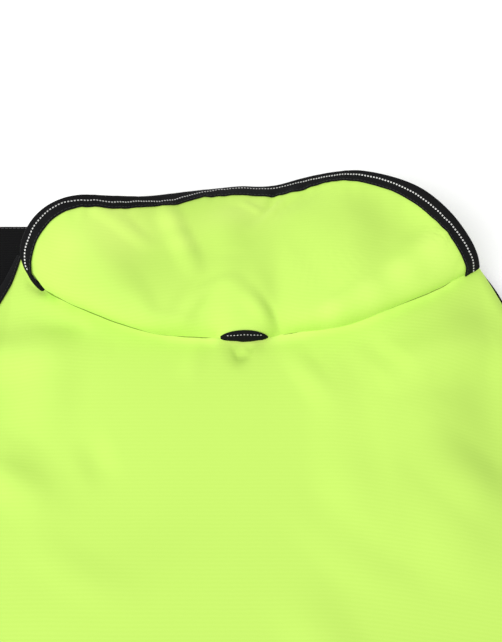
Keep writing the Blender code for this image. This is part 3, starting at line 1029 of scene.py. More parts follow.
@dataclass(frozen=True)
class SewnRow:
    """A row of small raised marks along a tape or a strap."""

    kind: Sewn
    pitch: float
    length: float
    width: float
    height: float

    @property
    def layer(self) -> Layer:
        """What the marks are made of."""
        return Layer.SILVER if self.kind is Sewn.DASH else Layer.THREAD

    def sew(self, body: Body, path: Points, normals: Points) -> None:
        """Lay the marks along a path.

        Args:
            body: The piece that takes them.
            path: Points along the cloth's outer skin.
            normals: Directions off the skin at those points.
        """
        run = lengths(path)
        count = max(int(run[-1] / self.pitch), 1)
        at = (np.arange(count) + 0.5) * run[-1] / count
        centres = np.stack([np.interp(at, run, path[:, k]) for k in range(3)], axis=1)
        ups = unit(np.stack([np.interp(at, run, normals[:, k]) for k in range(3)], axis=1))
        ahead = np.stack([np.interp(at + 0.4, run, path[:, k]) for k in range(3)], axis=1)
        behind = np.stack([np.interp(at - 0.4, run, path[:, k]) for k in range(3)], axis=1)
        alongs = unit(ahead - behind)
        acrosses = unit(np.cross(ups, alongs))
        ring = ((-1, -1), (1, -1), (1, 1), (-1, 1))
        levels = ((1.0, 1.0, -0.5), (1.0, 1.0, 0.45), (0.72, 0.62, 1.0))
        faces = [(3, 2, 1, 0), (8, 9, 10, 11)]
        for foot in (0, 4):
            for side in range(4):
                after = (side + 1) % 4
                faces.append((foot + side, foot + after, foot + after + 4, foot + side + 4))
        half_length, half_width = self.length / 2, self.width / 2
        for centre, up, along, across, place in zip(centres, ups, alongs, acrosses, at):
            points = [
                centre
                + along * (i * long * half_length)
                + across * (j * wide * half_width)
                + up * high * self.height
                for long, wide, high in levels
                for i, j in ring
            ]
            places = [(place + i * half_length, j * half_width) for _ in levels for i, j in ring]
            body.add(np.array(points), np.array(places), faces, self.layer)


DASHES = SewnRow(Sewn.DASH, pitch=2.4, length=1.3, width=1.0, height=0.2)
FINE_DASHES = SewnRow(Sewn.DASH, pitch=2.3, length=1.1, width=0.5, height=0.15)
TAPE_STITCHES = SewnRow(Sewn.STITCH, pitch=3.0, length=2.0, width=0.36, height=0.16)
STRAP_STITCHES = SewnRow(Sewn.STITCH, pitch=3.2, length=2.3, width=0.45, height=0.2)

# Width of the tape that shows along the collar's free edge, from its left end.
COLLAR_TAPE_WIDTHS = (
    Mark(0, 5.0),
    Mark(0.018, 7.5),
    Mark(0.038, 10.0),
    Mark(0.06, 13.0),
    Mark(0.085, 14.3),
    Mark(0.12, 14.4),
    Mark(0.14, 13.6),
    Mark(0.162, 12.0),
    Mark(0.186, 10.5),
    Mark(0.206, 10.1),
    Mark(0.227, 11.0),
    Mark(0.25, 12.2),
    Mark(0.273, 11.4),
    Mark(0.32, 10.6),
    Mark(0.35, 12.4),
    Mark(0.37, 15.0),
    Mark(0.388, 15.3),
    Mark(0.405, 13.5),
    Mark(0.44, 10.6),
    Mark(0.461, 12.8),
    Mark(0.5, 12.8),
    Mark(0.55, 14.2),
    Mark(0.57, 12.6),
    Mark(0.59, 14.2),
    Mark(0.611, 13.2),
    Mark(0.633, 10.2),
    Mark(0.657, 8.4),
    Mark(0.7, 7.8),
    Mark(0.743, 8.3),
    Mark(0.788, 9.2),
    Mark(0.828, 11.3),
    Mark(0.87, 12.5),
    Mark(0.92, 13.3),
    Mark(0.969, 12.2),
    Mark(1, 11.2),
)
# Distance of the row of dashes from the collar's free edge.
COLLAR_DASHES = (
    Mark(0.055, 4.2),
    Mark(0.08, 5.0),
    Mark(0.12, 5.2),
    Mark(0.14, 4.8),
    Mark(0.162, 4.1),
    Mark(0.19, 3.4),
    Mark(0.206, 3.9),
    Mark(0.227, 5.0),
    Mark(0.27, 5.8),
    Mark(0.32, 4.8),
    Mark(0.344, 5.8),
    Mark(0.37, 8.4),
    Mark(0.395, 8.6),
    Mark(0.416, 7.0),
    Mark(0.44, 4.3),
    Mark(0.47, 3.3),
    Mark(0.52, 3.1),
    Mark(0.56, 3.6),
    Mark(0.64, 2.8),
    Mark(0.68, 2.2),
    Mark(0.77, 2.1),
    Mark(0.808, 3.2),
    Mark(0.85, 4.6),
    Mark(0.9, 5.1),
    Mark(0.93, 5.0),
    Mark(0.96, 4.4),
    Mark(1, 4.4),
)


HEM_DASHES = (Mark(0.06, 1.0), Mark(0.12, 4.2), Mark(0.88, 4.2), Mark(0.94, 1.0))
LOWER_LIP_DASHES = (Mark(0.2, 2.0), Mark(0.8, 2.0))
UPPER_LIP_DASHES = (Mark(0.14, 2.6), Mark(0.5, 3.6), Mark(0.86, 2.6))


@dataclass
class Graph:
    """Nodes and links of one material or node group."""

    tree: bpy.types.NodeTree

    def add(self, kind: str, inputs: dict | None = None, **settings: object) -> bpy.types.Node:
        """Add a node.

        Args:
            kind: The node's type, such as ShaderNodeMath.
            inputs: What each named or numbered input takes: a socket to link or a value.
            settings: Values of the node's own properties.

        Returns:
            The new node.
        """
        made = self.tree.nodes.new(kind)
        for name, value in settings.items():
            setattr(made, name, value)
        for name, value in (inputs or {}).items():
            if isinstance(value, Socket):
                self.tree.links.new(value, made.inputs[name])
            else:
                made.inputs[name].default_value = value
        return made

    def math(self, operation: str, *values: object) -> Socket:
        """Result of a Math node."""
        return self.add("ShaderNodeMath", dict(enumerate(values)), operation=operation).outputs[0]

    def blend(self, share: object, low: object, high: object) -> Socket:
        """Colour between two colours.

        Args:
            share: Share of the second colour, as a socket or a number.
            low: First colour, as a socket or four numbers.
            high: Second colour.

        Returns:
            The socket of the colour between them.
        """
        made = self.add("ShaderNodeMix", data_type="RGBA")
        for name, value in (("Factor_Float", share), ("A_Color", low), ("B_Color", high)):
            entry = next(socket for socket in made.inputs if socket.identifier == name)
            if isinstance(value, Socket):
                self.tree.links.new(value, entry)
            else:
                entry.default_value = value
        return next(socket for socket in made.outputs if socket.identifier == "Result_Color")


class EffectGroup:
    """A shader node group with named inputs and outputs, built once."""

    name = ""
    inputs: tuple[tuple[str, str], ...] = ()
    outputs: tuple[tuple[str, str], ...] = ()

    def fill(self, graph: Graph, given: dict[str, Socket]) -> dict[str, Socket]:
        """Make the group's nodes and return what goes to its outputs.

        Args:
            graph: The group's graph.
            given: The group's inputs by name.

        Returns:
            What each named output takes.
        """
        raise NotImplementedError

    def tree(self) -> bpy.types.NodeTree:
        """The group, made on its first use.

        Returns:
            The node group.
        """
        found = bpy.data.node_groups.get(self.name)
        if found:
            return found
        made = bpy.data.node_groups.new(self.name, "ShaderNodeTree")
        for in_out, sockets in (("INPUT", self.inputs), ("OUTPUT", self.outputs)):
            for name, kind in sockets:
                made.interface.new_socket(name=name, in_out=in_out, socket_type=kind)
        graph = Graph(made)
        entry = graph.add("NodeGroupInput")
        given = {name: entry.outputs[name] for name, _ in self.inputs}
        graph.add("NodeGroupOutput", self.fill(graph, given))
        return made

    def place(self, graph: Graph, **values: object) -> bpy.types.Node:
        """Put the group in a material with its own values.

        Args:
            graph: The material's graph.
            values: What each input takes, with an underscore for each space in its name.

        Returns:
            The group's node.
        """
        inputs = {name.replace("_", " "): value for name, value in values.items()}
        node = graph.add("ShaderNodeGroup", node_tree=self.tree())
        for name, value in inputs.items():
            if isinstance(value, Socket):
                graph.tree.links.new(value, node.inputs[name])
            else:
                node.inputs[name].default_value = value
        return node


class Weave(EffectGroup):
    """Ribs that run along U of the flat cloth, crossed by threads that step from rib to rib."""

    name = "ribbed_weave"
    inputs = (
        ("Place", "NodeSocketVector"),
        ("Rib Pitch", "NodeSocketFloat"),
        ("Thread Pitch", "NodeSocketFloat"),
        ("Wander", "NodeSocketFloat"),
    )
    outputs = (("Rib", "NodeSocketFloat"), ("Thread", "NodeSocketFloat"), ("Height", "NodeSocketFloat"))

    def fill(self, graph: Graph, given: dict[str, Socket]) -> dict[str, Socket]:
        """Waves across the cloth for the ribs and along it for the threads.

        Args:
            graph: The group's graph.
            given: The group's inputs by name.

        Returns:
            What each named output takes.
        """
        noise = graph.add("ShaderNodeTexNoise", {"Vector": given["Place"], "Scale": 0.06, "Detail": 3.0})
        drift = graph.math("MULTIPLY", graph.math("SUBTRACT", noise.outputs["Fac"], 0.5), given["Wander"])
        parts = graph.add("ShaderNodeSeparateXYZ", {0: given["Place"]})
        across = graph.math("DIVIDE", graph.math("ADD", parts.outputs["Y"], drift), given["Rib Pitch"])
        turn = 2 * math.pi
        wave = graph.math("SINE", graph.math("MULTIPLY", across, turn))
        rib = graph.math("MULTIPLY_ADD", wave, 0.5, 0.5)
        step = graph.math("MULTIPLY", graph.math("FLOOR", across), 0.5)
        along = graph.math("ADD", graph.math("DIVIDE", parts.outputs["X"], given["Thread Pitch"]), step)
        step_wave = graph.math("SINE", graph.math("MULTIPLY", along, turn))
        thread = graph.math("MULTIPLY_ADD", step_wave, 0.5, 0.5)
        height = graph.math("MULTIPLY_ADD", graph.math("MULTIPLY", thread, rib), 0.45, rib)
        return {"Rib": rib, "Thread": thread, "Height": height}


class Mottle(EffectGroup):
    """Slow unevenness of dye and nap over the flat cloth."""

    name = "uneven_dye"
    inputs = (("Place", "NodeSocketVector"), ("Size", "NodeSocketFloat"), ("Amount", "NodeSocketFloat"))
    outputs = (("Share", "NodeSocketFloat"), ("Fleck", "NodeSocketFloat"))

    def fill(self, graph: Graph, given: dict[str, Socket]) -> dict[str, Socket]:
        """Soft clouds, and fine flecks for single threads.

        Args:
            graph: The group's graph.
            given: The group's inputs by name.

        Returns:
            What each named output takes.
        """
        scale = graph.math("DIVIDE", 1.0, given["Size"])
        clouds = graph.add("ShaderNodeTexNoise", {"Vector": given["Place"], "Scale": scale, "Detail": 4.0})
        flecks = graph.add("ShaderNodeTexNoise", {"Vector": given["Place"], "Scale": 1.7, "Detail": 2.0})
        share = graph.math("MULTIPLY", graph.math("SUBTRACT", clouds.outputs["Fac"], 0.5), given["Amount"])
        fleck = graph.math("MULTIPLY", graph.math("SUBTRACT", flecks.outputs["Fac"], 0.5), given["Amount"])
        return {"Share": share, "Fleck": fleck}


def place_on_cloth(graph: Graph) -> Socket:
    """Places on the flat cloth, in millimetres."""
    return graph.add("ShaderNodeUVMap", uv_map=CLOTH_MAP).outputs["UV"]


def new_material(name: str, colour: Colour) -> tuple[bpy.types.Material, Graph, bpy.types.Node]:
    """A material with its graph and its Principled shader.

    Args:
        name: The material's name.
        colour: Its colour in a plain view.

    Returns:
        The material, its graph and its shader.
    """
    made = bpy.data.materials.new(name)
    made.use_nodes = True
    made.diffuse_color = (*colour, 1)
    return made, Graph(made.node_tree), made.node_tree.nodes["Principled BSDF"]


@dataclass(frozen=True)
class WovenFinish:
    """A woven cloth, tape or webbing."""

    name: str
    crest: Colour
    # Darker colour between the ribs, painted shade in the grooves.
    shaded_groove: Colour
    rib_pitch: float
    thread_pitch: float
    wander: float
    depth: float
    roughness: float
    sheen: float
    sheen_tint: Colour
    unevenness: float
    shine: float = 0.1
    # Painted light: strength of the cloth's own glow, and the colour it glows towards where the painted mask
    # is above 0.
    painted_glow: float = 0.0
    painted_fold_light: Colour = (0.0, 0.0, 0.0)
    ribs_across: bool = False

    def make(self) -> bpy.types.Material:
        """The finished material.

        Returns:
            The material, with its procedural nodes.
        """
        made, graph, shader = new_material(self.name, self.crest)
        place = place_on_cloth(graph)
        if self.ribs_across:
            parts = graph.add("ShaderNodeSeparateXYZ", {0: place})
            turned = {0: parts.outputs["Y"], 1: parts.outputs["X"]}
            place = graph.add("ShaderNodeCombineXYZ", turned).outputs[0]
        weave = Weave().place(
            graph, Place=place, Rib_Pitch=self.rib_pitch, Thread_Pitch=self.thread_pitch, Wander=self.wander
        )
        dye = Mottle().place(graph, Place=place, Size=60.0, Amount=self.unevenness)
        # Painted shade: the colour runs from the crest colour on the ribs to the darker groove colour
        # between them, with the dye's unevenness mixed in.
        crown = graph.math("MULTIPLY_ADD", weave.outputs["Thread"], 0.25, weave.outputs["Rib"])
        share = graph.math("ADD", graph.math("MULTIPLY", crown, 0.8), dye.outputs["Share"])
        share = graph.add("ShaderNodeClamp", {0: graph.math("ADD", share, dye.outputs["Fleck"])}).outputs[0]
        colour = graph.blend(share, (*self.shaded_groove, 1), (*self.crest, 1))
        rough = graph.math("MULTIPLY_ADD", dye.outputs["Share"], 0.2, self.roughness)
        relief = {"Height": weave.outputs["Height"], "Strength": 0.6, "Distance": self.depth * MM}
        bump = graph.add("ShaderNodeBump", relief)
        graph.tree.links.new(colour, shader.inputs["Base Color"])
        graph.tree.links.new(rough, shader.inputs["Roughness"])
        graph.tree.links.new(bump.outputs["Normal"], shader.inputs["Normal"])
        # Painted light and shade: the cloth emits its colour, shifted towards the painted light colour where
        # the mask is above 0 and towards black where it is below 0.
        if self.painted_glow:
            painted_mask = graph.add("ShaderNodeAttribute", attribute_name=PAINTED_LIGHT_MASK).outputs["Fac"]
            painted_lit = graph.blend(painted_mask, colour, (*self.painted_fold_light, 1))
            painted_dim = graph.blend(graph.math("MULTIPLY", painted_mask, -1.0), painted_lit, (0, 0, 0, 1))
            graph.tree.links.new(painted_dim, shader.inputs["Emission Color"])
            shader.inputs["Emission Strength"].default_value = self.painted_glow
        shader.inputs["Sheen Weight"].default_value = self.sheen
        shader.inputs["Sheen Roughness"].default_value = 0.45
        shader.inputs["Sheen Tint"].default_value = (*self.sheen_tint, 1)
        shader.inputs["Specular IOR Level"].default_value = self.shine
        return made


@dataclass(frozen=True)
class BeadedFinish:
    """Reflective yarn with a coat of tiny beads."""

    name: str = "silver_reflective_yarn"
    colour: Colour = (0.62, 0.62, 0.60)
    roughness: float = 0.38
    metallic: float = 0.25

    def make(self) -> bpy.types.Material:
        """The finished material.

        Returns:
            The material, with its procedural nodes.
        """
        made, graph, shader = new_material(self.name, self.colour)
        place = place_on_cloth(graph)
        beads = graph.add("ShaderNodeTexVoronoi", {"Vector": place, "Scale": 6.0})
        dye = Mottle().place(graph, Place=place, Size=5.0, Amount=0.5)
        share = graph.add("ShaderNodeClamp", {0: graph.math("ADD", 0.75, dye.outputs["Share"])}).outputs[0]
        worn = tuple(0.6 * part for part in self.colour)
        colour = graph.blend(share, (*worn, 1), (*self.colour, 1))
        graph.tree.links.new(colour, shader.inputs["Base Color"])
        relief = {"Height": beads.outputs["Distance"], "Strength": 0.4, "Distance": 0.05 * MM}
        bump = graph.add("ShaderNodeBump", relief)
        graph.tree.links.new(bump.outputs["Normal"], shader.inputs["Normal"])
        shader.inputs["Roughness"].default_value = self.roughness
        shader.inputs["Metallic"].default_value = self.metallic
        return made


@dataclass(frozen=True)
class ThreadFinish:
    """Twisted sewing thread."""

    name: str
    colour: Colour
    roughness: float = 0.55

    def make(self) -> bpy.types.Material:
        """The finished material.

        Returns:
            The material, with its procedural nodes.
        """
        made, graph, shader = new_material(self.name, self.colour)
        place = place_on_cloth(graph)
        waves = {"Vector": place, "Scale": 1.2, "Distortion": 0.4}
        twist = graph.add("ShaderNodeTexWave", waves, bands_direction="DIAGONAL")
        dark = tuple(0.55 * part for part in self.colour)
        colour = graph.blend(twist.outputs["Fac"], (*dark, 1), (*self.colour, 1))
        graph.tree.links.new(colour, shader.inputs["Base Color"])
        relief = {"Height": twist.outputs["Fac"], "Strength": 0.5, "Distance": 0.08 * MM}
        bump = graph.add("ShaderNodeBump", relief)
        graph.tree.links.new(bump.outputs["Normal"], shader.inputs["Normal"])
        shader.inputs["Roughness"].default_value = self.roughness
        return made


CLOTH_FINISH = WovenFinish(
    name="fluorescent_ribbed_cloth",
    crest=(0.478, 0.712, 0.123),
    shaded_groove=(0.462, 0.700, 0.115),
    rib_pitch=2.75,
    thread_pitch=1.1,
    wander=0.9,
    depth=0.035,
    roughness=0.8,
    sheen=0.18,
    sheen_tint=(0.9, 1.0, 0.45),
    unevenness=0.5,
    # Painted light: the cloth glows, and lights its folds and seam with this colour.
    painted_glow=0.16,
    painted_fold_light=(1.45, 1.6, 0.45),
)
TAPE_FINISH = WovenFinish(
    name="black_grosgrain_tape",
    crest=(0.008, 0.008, 0.0088),
    shaded_groove=(0.0018, 0.0018, 0.002),
    rib_pitch=0.9,
    thread_pitch=0.8,
    wander=0.1,
    depth=0.12,
    roughness=0.75,
    sheen=0.01,
    sheen_tint=(0.8, 0.82, 0.9),
    unevenness=0.5,
    ribs_across=True,
)
WEBBING_FINISH = WovenFinish(
    name="black_strap_weave",
    crest=(0.006, 0.006, 0.0065),
    shaded_groove=(0.002, 0.002, 0.0022),
    rib_pitch=1.7,
    thread_pitch=1.5,
    wander=0.3,
    depth=0.25,
    roughness=0.8,
    sheen=0.01,
    sheen_tint=(0.8, 0.8, 0.85),
    unevenness=0.7,
)


BLACK_THREAD = ThreadFinish("black_thread", (0.018, 0.018, 0.02))
# Dark olive thread that also stands in for the shadow line of the collar's seam (painted shadow).
OLIVE_SHADOW_THREAD = ThreadFinish("olive_shadow_thread", (0.26, 0.37, 0.035))
GREY_THREAD = ThreadFinish("grey_thread", (0.10, 0.10, 0.105))


@dataclass
class Palette:
    """The materials of the coat, each made once."""

    cloth: bpy.types.Material = field(default_factory=CLOTH_FINISH.make)
    tape: bpy.types.Material = field(default_factory=TAPE_FINISH.make)
    webbing: bpy.types.Material = field(default_factory=WEBBING_FINISH.make)
    silver: bpy.types.Material = field(default_factory=BeadedFinish().make)
    thread: bpy.types.Material = field(default_factory=BLACK_THREAD.make)
    seam_shadow_thread: bpy.types.Material = field(default_factory=OLIVE_SHADOW_THREAD.make)
    grey_thread: bpy.types.Material = field(default_factory=GREY_THREAD.make)


def dress(piece: bpy.types.Object, node: str) -> bpy.types.Object:
    """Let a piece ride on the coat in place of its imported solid.

    Args:
        piece: The piece.
        node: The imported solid's name.

    Returns:
        The same piece.
    """
    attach(piece, BODY)
    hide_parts(node)
    LOG.info("%s: %d faces", piece.name, len(piece.data.polygons))
    return piece


@dataclass
class ClothPiece:
    """A piece of the ribbed cloth: the back panel or the collar."""

    name: str
    node: str
    form: CoatForm
    surface: Surface
    pinched_at: tuple[float, float] | None = None
    pinch_reach: float = 12.0
    pinch: float = 0.7
    # Painted light: reach of the extra glow below the seam, and listed spots of painted light and shade.
    painted_seam_light_reach: float = 0.0
    painted_spots: tuple[Hump, ...] = ()
    lean: float = 0.22
    lean_start: float = 50.0
    lean_fade: tuple[float, float] = (-460.0, -120.0)

    def half_wall(self) -> Points:
        """Half the wall's thickness at each vertex, less where the cloth is sewn into a point.

        Returns:
            The half thicknesses.
        """
        half = np.full(len(self.surface.vertices), self.form.wall / 2)
        if self.pinched_at:
            away = np.linalg.norm(self.surface.vertices[:, :2] - np.array(self.pinched_at), axis=1)
            half *= 1 - self.pinch * swell(away / self.pinch_reach)
        return half

    def painted_glow(self) -> Points:
        """Painted light and shade at each vertex: up to 1 where the cloth glows more (painted light, also
        along the seam), down to -1 where it glows less (painted shade).

        Returns:
            A number for each vertex.
        """
        x, y = self.surface.vertices[:, 0], self.surface.vertices[:, 1]
        made = sum(spot.height * swell(np.hypot(x - spot.x, y - spot.y) / spot.reach) for spot in self.painted_spots)
        if self.painted_seam_light_reach:
            made = made + swell((self.form.neck_y(x) - y) / self.painted_seam_light_reach)
        return np.clip(made, -1, 1)

    def grain(self) -> Points:
        """Places on the flat cloth, with the ribs eased down towards the right shoulder.

        Returns:
            A place for each vertex.
        """
        x, y = self.surface.cloth[:, 0], self.surface.cloth[:, 1]
        right = np.maximum(x - self.lean_start, 0)
        lean = self.lean * right * right / (right + self.lean_start) * ramp(y, *self.lean_fade)
        return np.stack((x, y + lean), axis=1)

    def build(self, origin: Vector, palette: Palette) -> bpy.types.Object:
        """The piece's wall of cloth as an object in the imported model's place.

        Args:
            origin: Where the middle of the lead hole is.
            palette: The coat's materials.

        Returns:
            The new object.
        """
        body = Body()
        body.add(*wall_of(self.surface, self.half_wall(), self.grain()), Layer.BASE)
        made = body.make(self.name, origin, [palette.cloth])
        # Painted light and shade mask, which the cloth's material reads for its emission.
        painted_mask = made.data.attributes.new(PAINTED_LIGHT_MASK, "FLOAT", "POINT")
        painted_mask.data.foreach_set("value", np.tile(self.painted_glow(), 2).astype(np.float32))
        return dress(made, self.node)


@dataclass
class SeamShadowThread:
    """Olive sewing thread along the collar's seam, one strand to each side of the lead hole, which also
    stands in for the dark shadow line where the collar's roll meets the panel (painted shadow).
    """

    form: CoatForm
    left: tuple[float, float] = (-152.0, -22.0)
    right: tuple[float, float] = (29.0, 156.0)
    left_radius: float = 0.4
    right_radius: float = 0.3
    fade: float = 10.0
    sides: int = 6

    def strand(self, body: Body, path: Points, radius: float) -> None:
        """Lay one strand, which thins towards both its ends.

        Args:
            body: The piece that takes it.
            path: Points of its middle line.
            radius: Its radius in its full part.
        """
        along = unit(np.gradient(path, axis=0))
        side = unit(np.cross(along, (0.0, 0.0, 1.0)))
        up = np.cross(side, along)
        turn = np.arange(self.sides) * 2 * math.pi / self.sides
        ring = np.cos(turn)[None, :, None] * side[:, None] + np.sin(turn)[None, :, None] * up[:, None]
        run = lengths(path)
        thick = radius * (0.3 + 0.7 * ramp(np.minimum(run, run[-1] - run), 0, self.fade))
        vertices = (path[:, None] + ring * thick[:, None, None]).reshape(-1, 3)
        count = self.sides
        faces = [
            (first + k, first + count + k, first + count + (k + 1) % count, first + (k + 1) % count)
            for first in range(0, len(vertices) - count, count)
            for k in range(count)
        ]
        last = len(vertices) - count
        for k in range(1, count - 1, 2):
            faces.append((0, k, k + 1, (k + 2) % count))
            faces.append((last, last + (k + 2) % count, last + k + 1, last + k))
        places = np.stack((np.repeat(run, count), np.tile(turn * radius, len(path))), axis=1)
        body.add(vertices, places, outward_faces(vertices, faces), Layer.BASE)

    def build(self, origin: Vector, palette: Palette) -> bpy.types.Object:
        """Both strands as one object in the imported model's place.

        Args:
            origin: Where the middle of the lead hole is.
            palette: The coat's materials.

        Returns:
            The new object.
        """
        body = Body()
        self.strand(body, self.form.seam_line(*self.left), self.left_radius)
        self.strand(body, self.form.seam_line(*self.right), self.right_radius)
        made = body.make("seam_shadow_thread", origin, [palette.seam_shadow_thread])
        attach(made, BODY)
        LOG.info("%s: %d faces", made.name, len(made.data.polygons))
        return made


@dataclass
class FoldedTape:
    """Tape folded round an edge of the cloth."""

    name: str
    node: str
    form: CoatForm
    paths: Points
    normals: Points
    bands: Points
    dash_line: tuple[Mark, ...]
    dashes: SewnRow = DASHES
    stitched: bool = True
    floor: float | None = None
    thinned: Points | float = 1.0
    ripple: float = 0.10
    stitch_inset: float = 1.4
    least_stitched: float = 5.0
    rows: int = 7
    nose_points: int = 7

    def sample(self, grid: Points, distances: Points) -> Points:
        """Values of a grid at distances from the edge, station by station.

        Args:
            grid: Stations by places along each path by three numbers.
            distances: Stations by distances from the edge.

        Returns:
            Stations by distances by three numbers.
        """
        made = np.zeros((*distances.shape, 3))
        for station, (path, wanted) in enumerate(zip(self.paths, distances)):
            run = lengths(path)
            for k in range(3):
                made[station, :, k] = np.interp(wanted, run, grid[station, :, k])
        return made

    def skin(self, offset: float) -> tuple[Points, Points]:
        """One skin of the tape, round its section at each station.

        Args:
            offset: Distance of the skin from the middle of the cloth.

        Returns:
            Stations by places round the section, and the distance from the edge at each, which is negative
            underneath.
        """
        shares = np.linspace(1, 0, self.rows)
        distances = self.bands[:, None] * shares[None, :]
        points, normals = self.sample(self.paths, distances), unit(self.sample(self.normals, distances))
        run = lengths(points[:, -1])[:, None]
        ripple = self.ripple * np.sin(run / 2.9 + 2 * np.sin(run / 19)) * shares[None, :]
        reach = offset * np.broadcast_to(self.thinned, (len(points),))[:, None]
        lift = (reach + ripple)[..., None] * normals
        edge, normal = points[:, -1], normals[:, -1]
        outward = unit(self.paths[:, 0] - self.paths[:, 1])
        centre = edge + outward * (self.form.tape_nose - self.form.tape_outside)
        angles = np.linspace(math.pi / 2, -math.pi / 2, self.nose_points + 2)[1:-1]
        turns = [math.sin(angle) * normal + math.cos(angle) * outward for angle in angles]
        nose = np.stack([centre + reach * turn for turn in turns], axis=1)
        section = np.concatenate((points + lift, nose, (points - lift)[:, ::-1]), axis=1)
        at_nose = np.zeros((len(edge), len(angles)))
        across = np.concatenate((distances, at_nose, -distances[:, ::-1]), axis=1)
        if self.floor is not None:
            section[..., 2] = np.maximum(section[..., 2], self.floor)
        return section, across

    def build(self, origin: Vector, palette: Palette) -> bpy.types.Object:
        """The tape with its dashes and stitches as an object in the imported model's place.

        Args:
            origin: Where the middle of the lead hole is.
            palette: The coat's materials.

        Returns:
            The new object.
        """
        outer, across = self.skin(self.form.tape_outside)
        inner, _ = self.skin(self.form.tape_inside)
        stations, places = outer.shape[:2]
        along = np.repeat(lengths(outer[:, self.rows])[:, None], places, axis=1)
        cloth = np.stack((along, across), axis=-1).reshape(-1, 2)
        count = stations * places
        numbers = np.arange(count).reshape(stations, places)
        a, b, c, d = numbers[:-1, :-1], numbers[1:, :-1], numbers[1:, 1:], numbers[:-1, 1:]
        skin = np.stack((a, b, c, d), axis=-1).reshape(-1, 4)
        faces = skin.tolist() + (skin[:, ::-1] + count).tolist()
        rims = ((numbers[:, 0], True), (numbers[:, -1], False), (numbers[0], False), (numbers[-1], True))
        for rim, turned in rims:
            for p, q in zip(rim[:-1], rim[1:]):
                face = (p, q, q + count, p + count)
                faces.append(face[::-1] if turned else face)
        vertices = np.concatenate((outer.reshape(-1, 3), inner.reshape(-1, 3)))
        body = Body()
        body.add(vertices, np.concatenate((cloth, cloth)), outward_faces(vertices, faces), Layer.BASE)
        self.sew_on(body)
        materials = [palette.tape, palette.silver, palette.thread]
        return dress(body.make(self.name, origin, materials), self.node)

    def sew_on(self, body: Body) -> None:
        """Add the reflective dashes, where their line runs, and the stitches near the tape's inner edge.

        Args:
            body: The tape's mesh in the making.
        """
        share = lengths(self.paths[:, 0])
        share = share / share[-1]
        line = np.array(self.dash_line, float)
        dashed = (share >= line[0, 0]) & (share <= line[-1, 0])
        rows = [(self.dashes, np.interp(share, line[:, 0], line[:, 1]), dashed)]
        if self.stitched:
            rows.append((TAPE_STITCHES, self.bands - self.stitch_inset, self.bands > self.least_stitched))
        for row, distance, kept in rows:
            at = np.maximum(distance, 0)[:, None]
            normals = unit(self.sample(self.normals, at))[:, 0]
            skin = self.form.tape_outside * np.broadcast_to(self.thinned, (len(at),)) + 0.02
            path = self.sample(self.paths, at)[:, 0] + normals * skin[:, None]
            row.sew(body, path[kept], normals[kept])


def outward_faces(vertices: Points, faces: Sequence[Sequence[int]]) -> list[tuple[int, ...]]:
    """The faces of a closed body, turned round if they face into it.

    Args:
        vertices: The body's points.
        faces: Its faces, of four corners each.

    Returns:
        The faces, seen from outside.
    """
    volume = 0.0
    for face in faces:
        a, b, c, d = (vertices[k] for k in face)
        volume += float(np.dot(a, np.cross(b, c)) + np.dot(a, np.cross(c, d)))
    return [tuple(face[::-1]) if volume < 0 else tuple(face) for face in faces]


@dataclass
class CollarWrap:
    """Lines on the collar that its tape follows.

    They run in from the left end, round the corner, and in from the free edge.
    A place is a station, counted in shares too, and a depth in millimetres down from the free edge.
    """

    collar: Surface
    end_width: float = 3.0
    end_flare: float = 0.5
    seam_margin: float = 1.4
    end_stations: int = 12
    searched: int = 24
    samples: int = 14
    widths: tuple[Mark, ...] = COLLAR_TAPE_WIDTHS
    points: Points = field(init=False)
    normals: Points = field(init=False)
    depths: Points = field(init=False)

    def __post_init__(self) -> None:
        """Read the collar's stations, each from the free edge down to the seam."""
        table = self.collar.numbers[0][:, ::-1]
        self.points, self.normals = self.collar.vertices[table], self.collar.normals[table]
        self.depths = np.array([lengths(row) for row in self.points])

    def read(self, grid: Points, station: float, depth: float) -> Points:
        """Value of a grid at a place.

        Args:
            grid: Numbers at each station and each point down it.
            station: The place's station.
            depth: The place's depth.

        Returns:
            The numbers there.
        """
        low = min(int(station), len(grid) - 2)
        near, far = (
            np.array([np.interp(depth, self.depths[k], grid[k, :, axis]) for axis in range(3)])
            for k in (low, low + 1)
        )
        return near + (station - low) * (far - near)

    def station_at(self, distance: float, depth: float) -> float:
        """Station at a distance in from the left end, along the line at one depth.

        Args:
            distance: How far in, in millimetres.
            depth: The line's depth.

        Returns:
            The station, counted in shares too.
        """
        stations = np.arange(self.searched)
        row = np.array([self.read(self.points, station, depth) for station in stations])
        return float(np.interp(distance, lengths(row), stations))

    def spans(self) -> list[tuple[tuple[float, float], tuple[float, float]]]:
        """The places at which each line starts, on the cloth's edge, and ends, at the tape's inner edge.

        Returns:
            Two places to each line.
        """
        run = lengths(self.points[:, 0])
        table = np.array(self.widths, float)
        widths = np.interp(run / run[-1], table[:, 0], table[:, 1])
        corner = float(widths[0])
        made = []
        for depth in np.linspace(self.depths[0, -1] - self.seam_margin, 0, self.end_stations)[:-1]:
            inner = depth if depth > 2 * corner else corner + depth / 2
            width = self.end_width * (1 + self.end_flare * (depth / self.depths[0, -1]) ** 2)
            made.append(((0.0, float(depth)), (self.station_at(width, inner), float(inner))))
        first = self.station_at(self.end_width, corner)
        last = float(np.interp(2 * self.end_width, run, np.arange(len(run))))
        for station, (distance, depth) in enumerate(zip(run, widths)):
            share = min(distance / (2 * self.end_width), 1)
            inner = station if share >= 1 else first + (last - first) * share
            made.append(((float(station), 0.0), (float(inner), float(depth))))
        return made

    def read_paths(self) -> tuple[Points, Points]:
        """The lines' points and the collar's normals there.

        Returns:
            A row of points, and one of normals, to each line.
        """
        shares = np.linspace(0, 1, self.samples)
        grids = []
        for grid in (self.points, self.normals):
            rows = [
                [self.read(grid, a[0] + (b[0] - a[0]) * t, a[1] + (b[1] - a[1]) * t) for t in shares]
                for a, b in self.spans()
            ]
            grids.append(np.array(rows))
        return grids[0], grids[1]


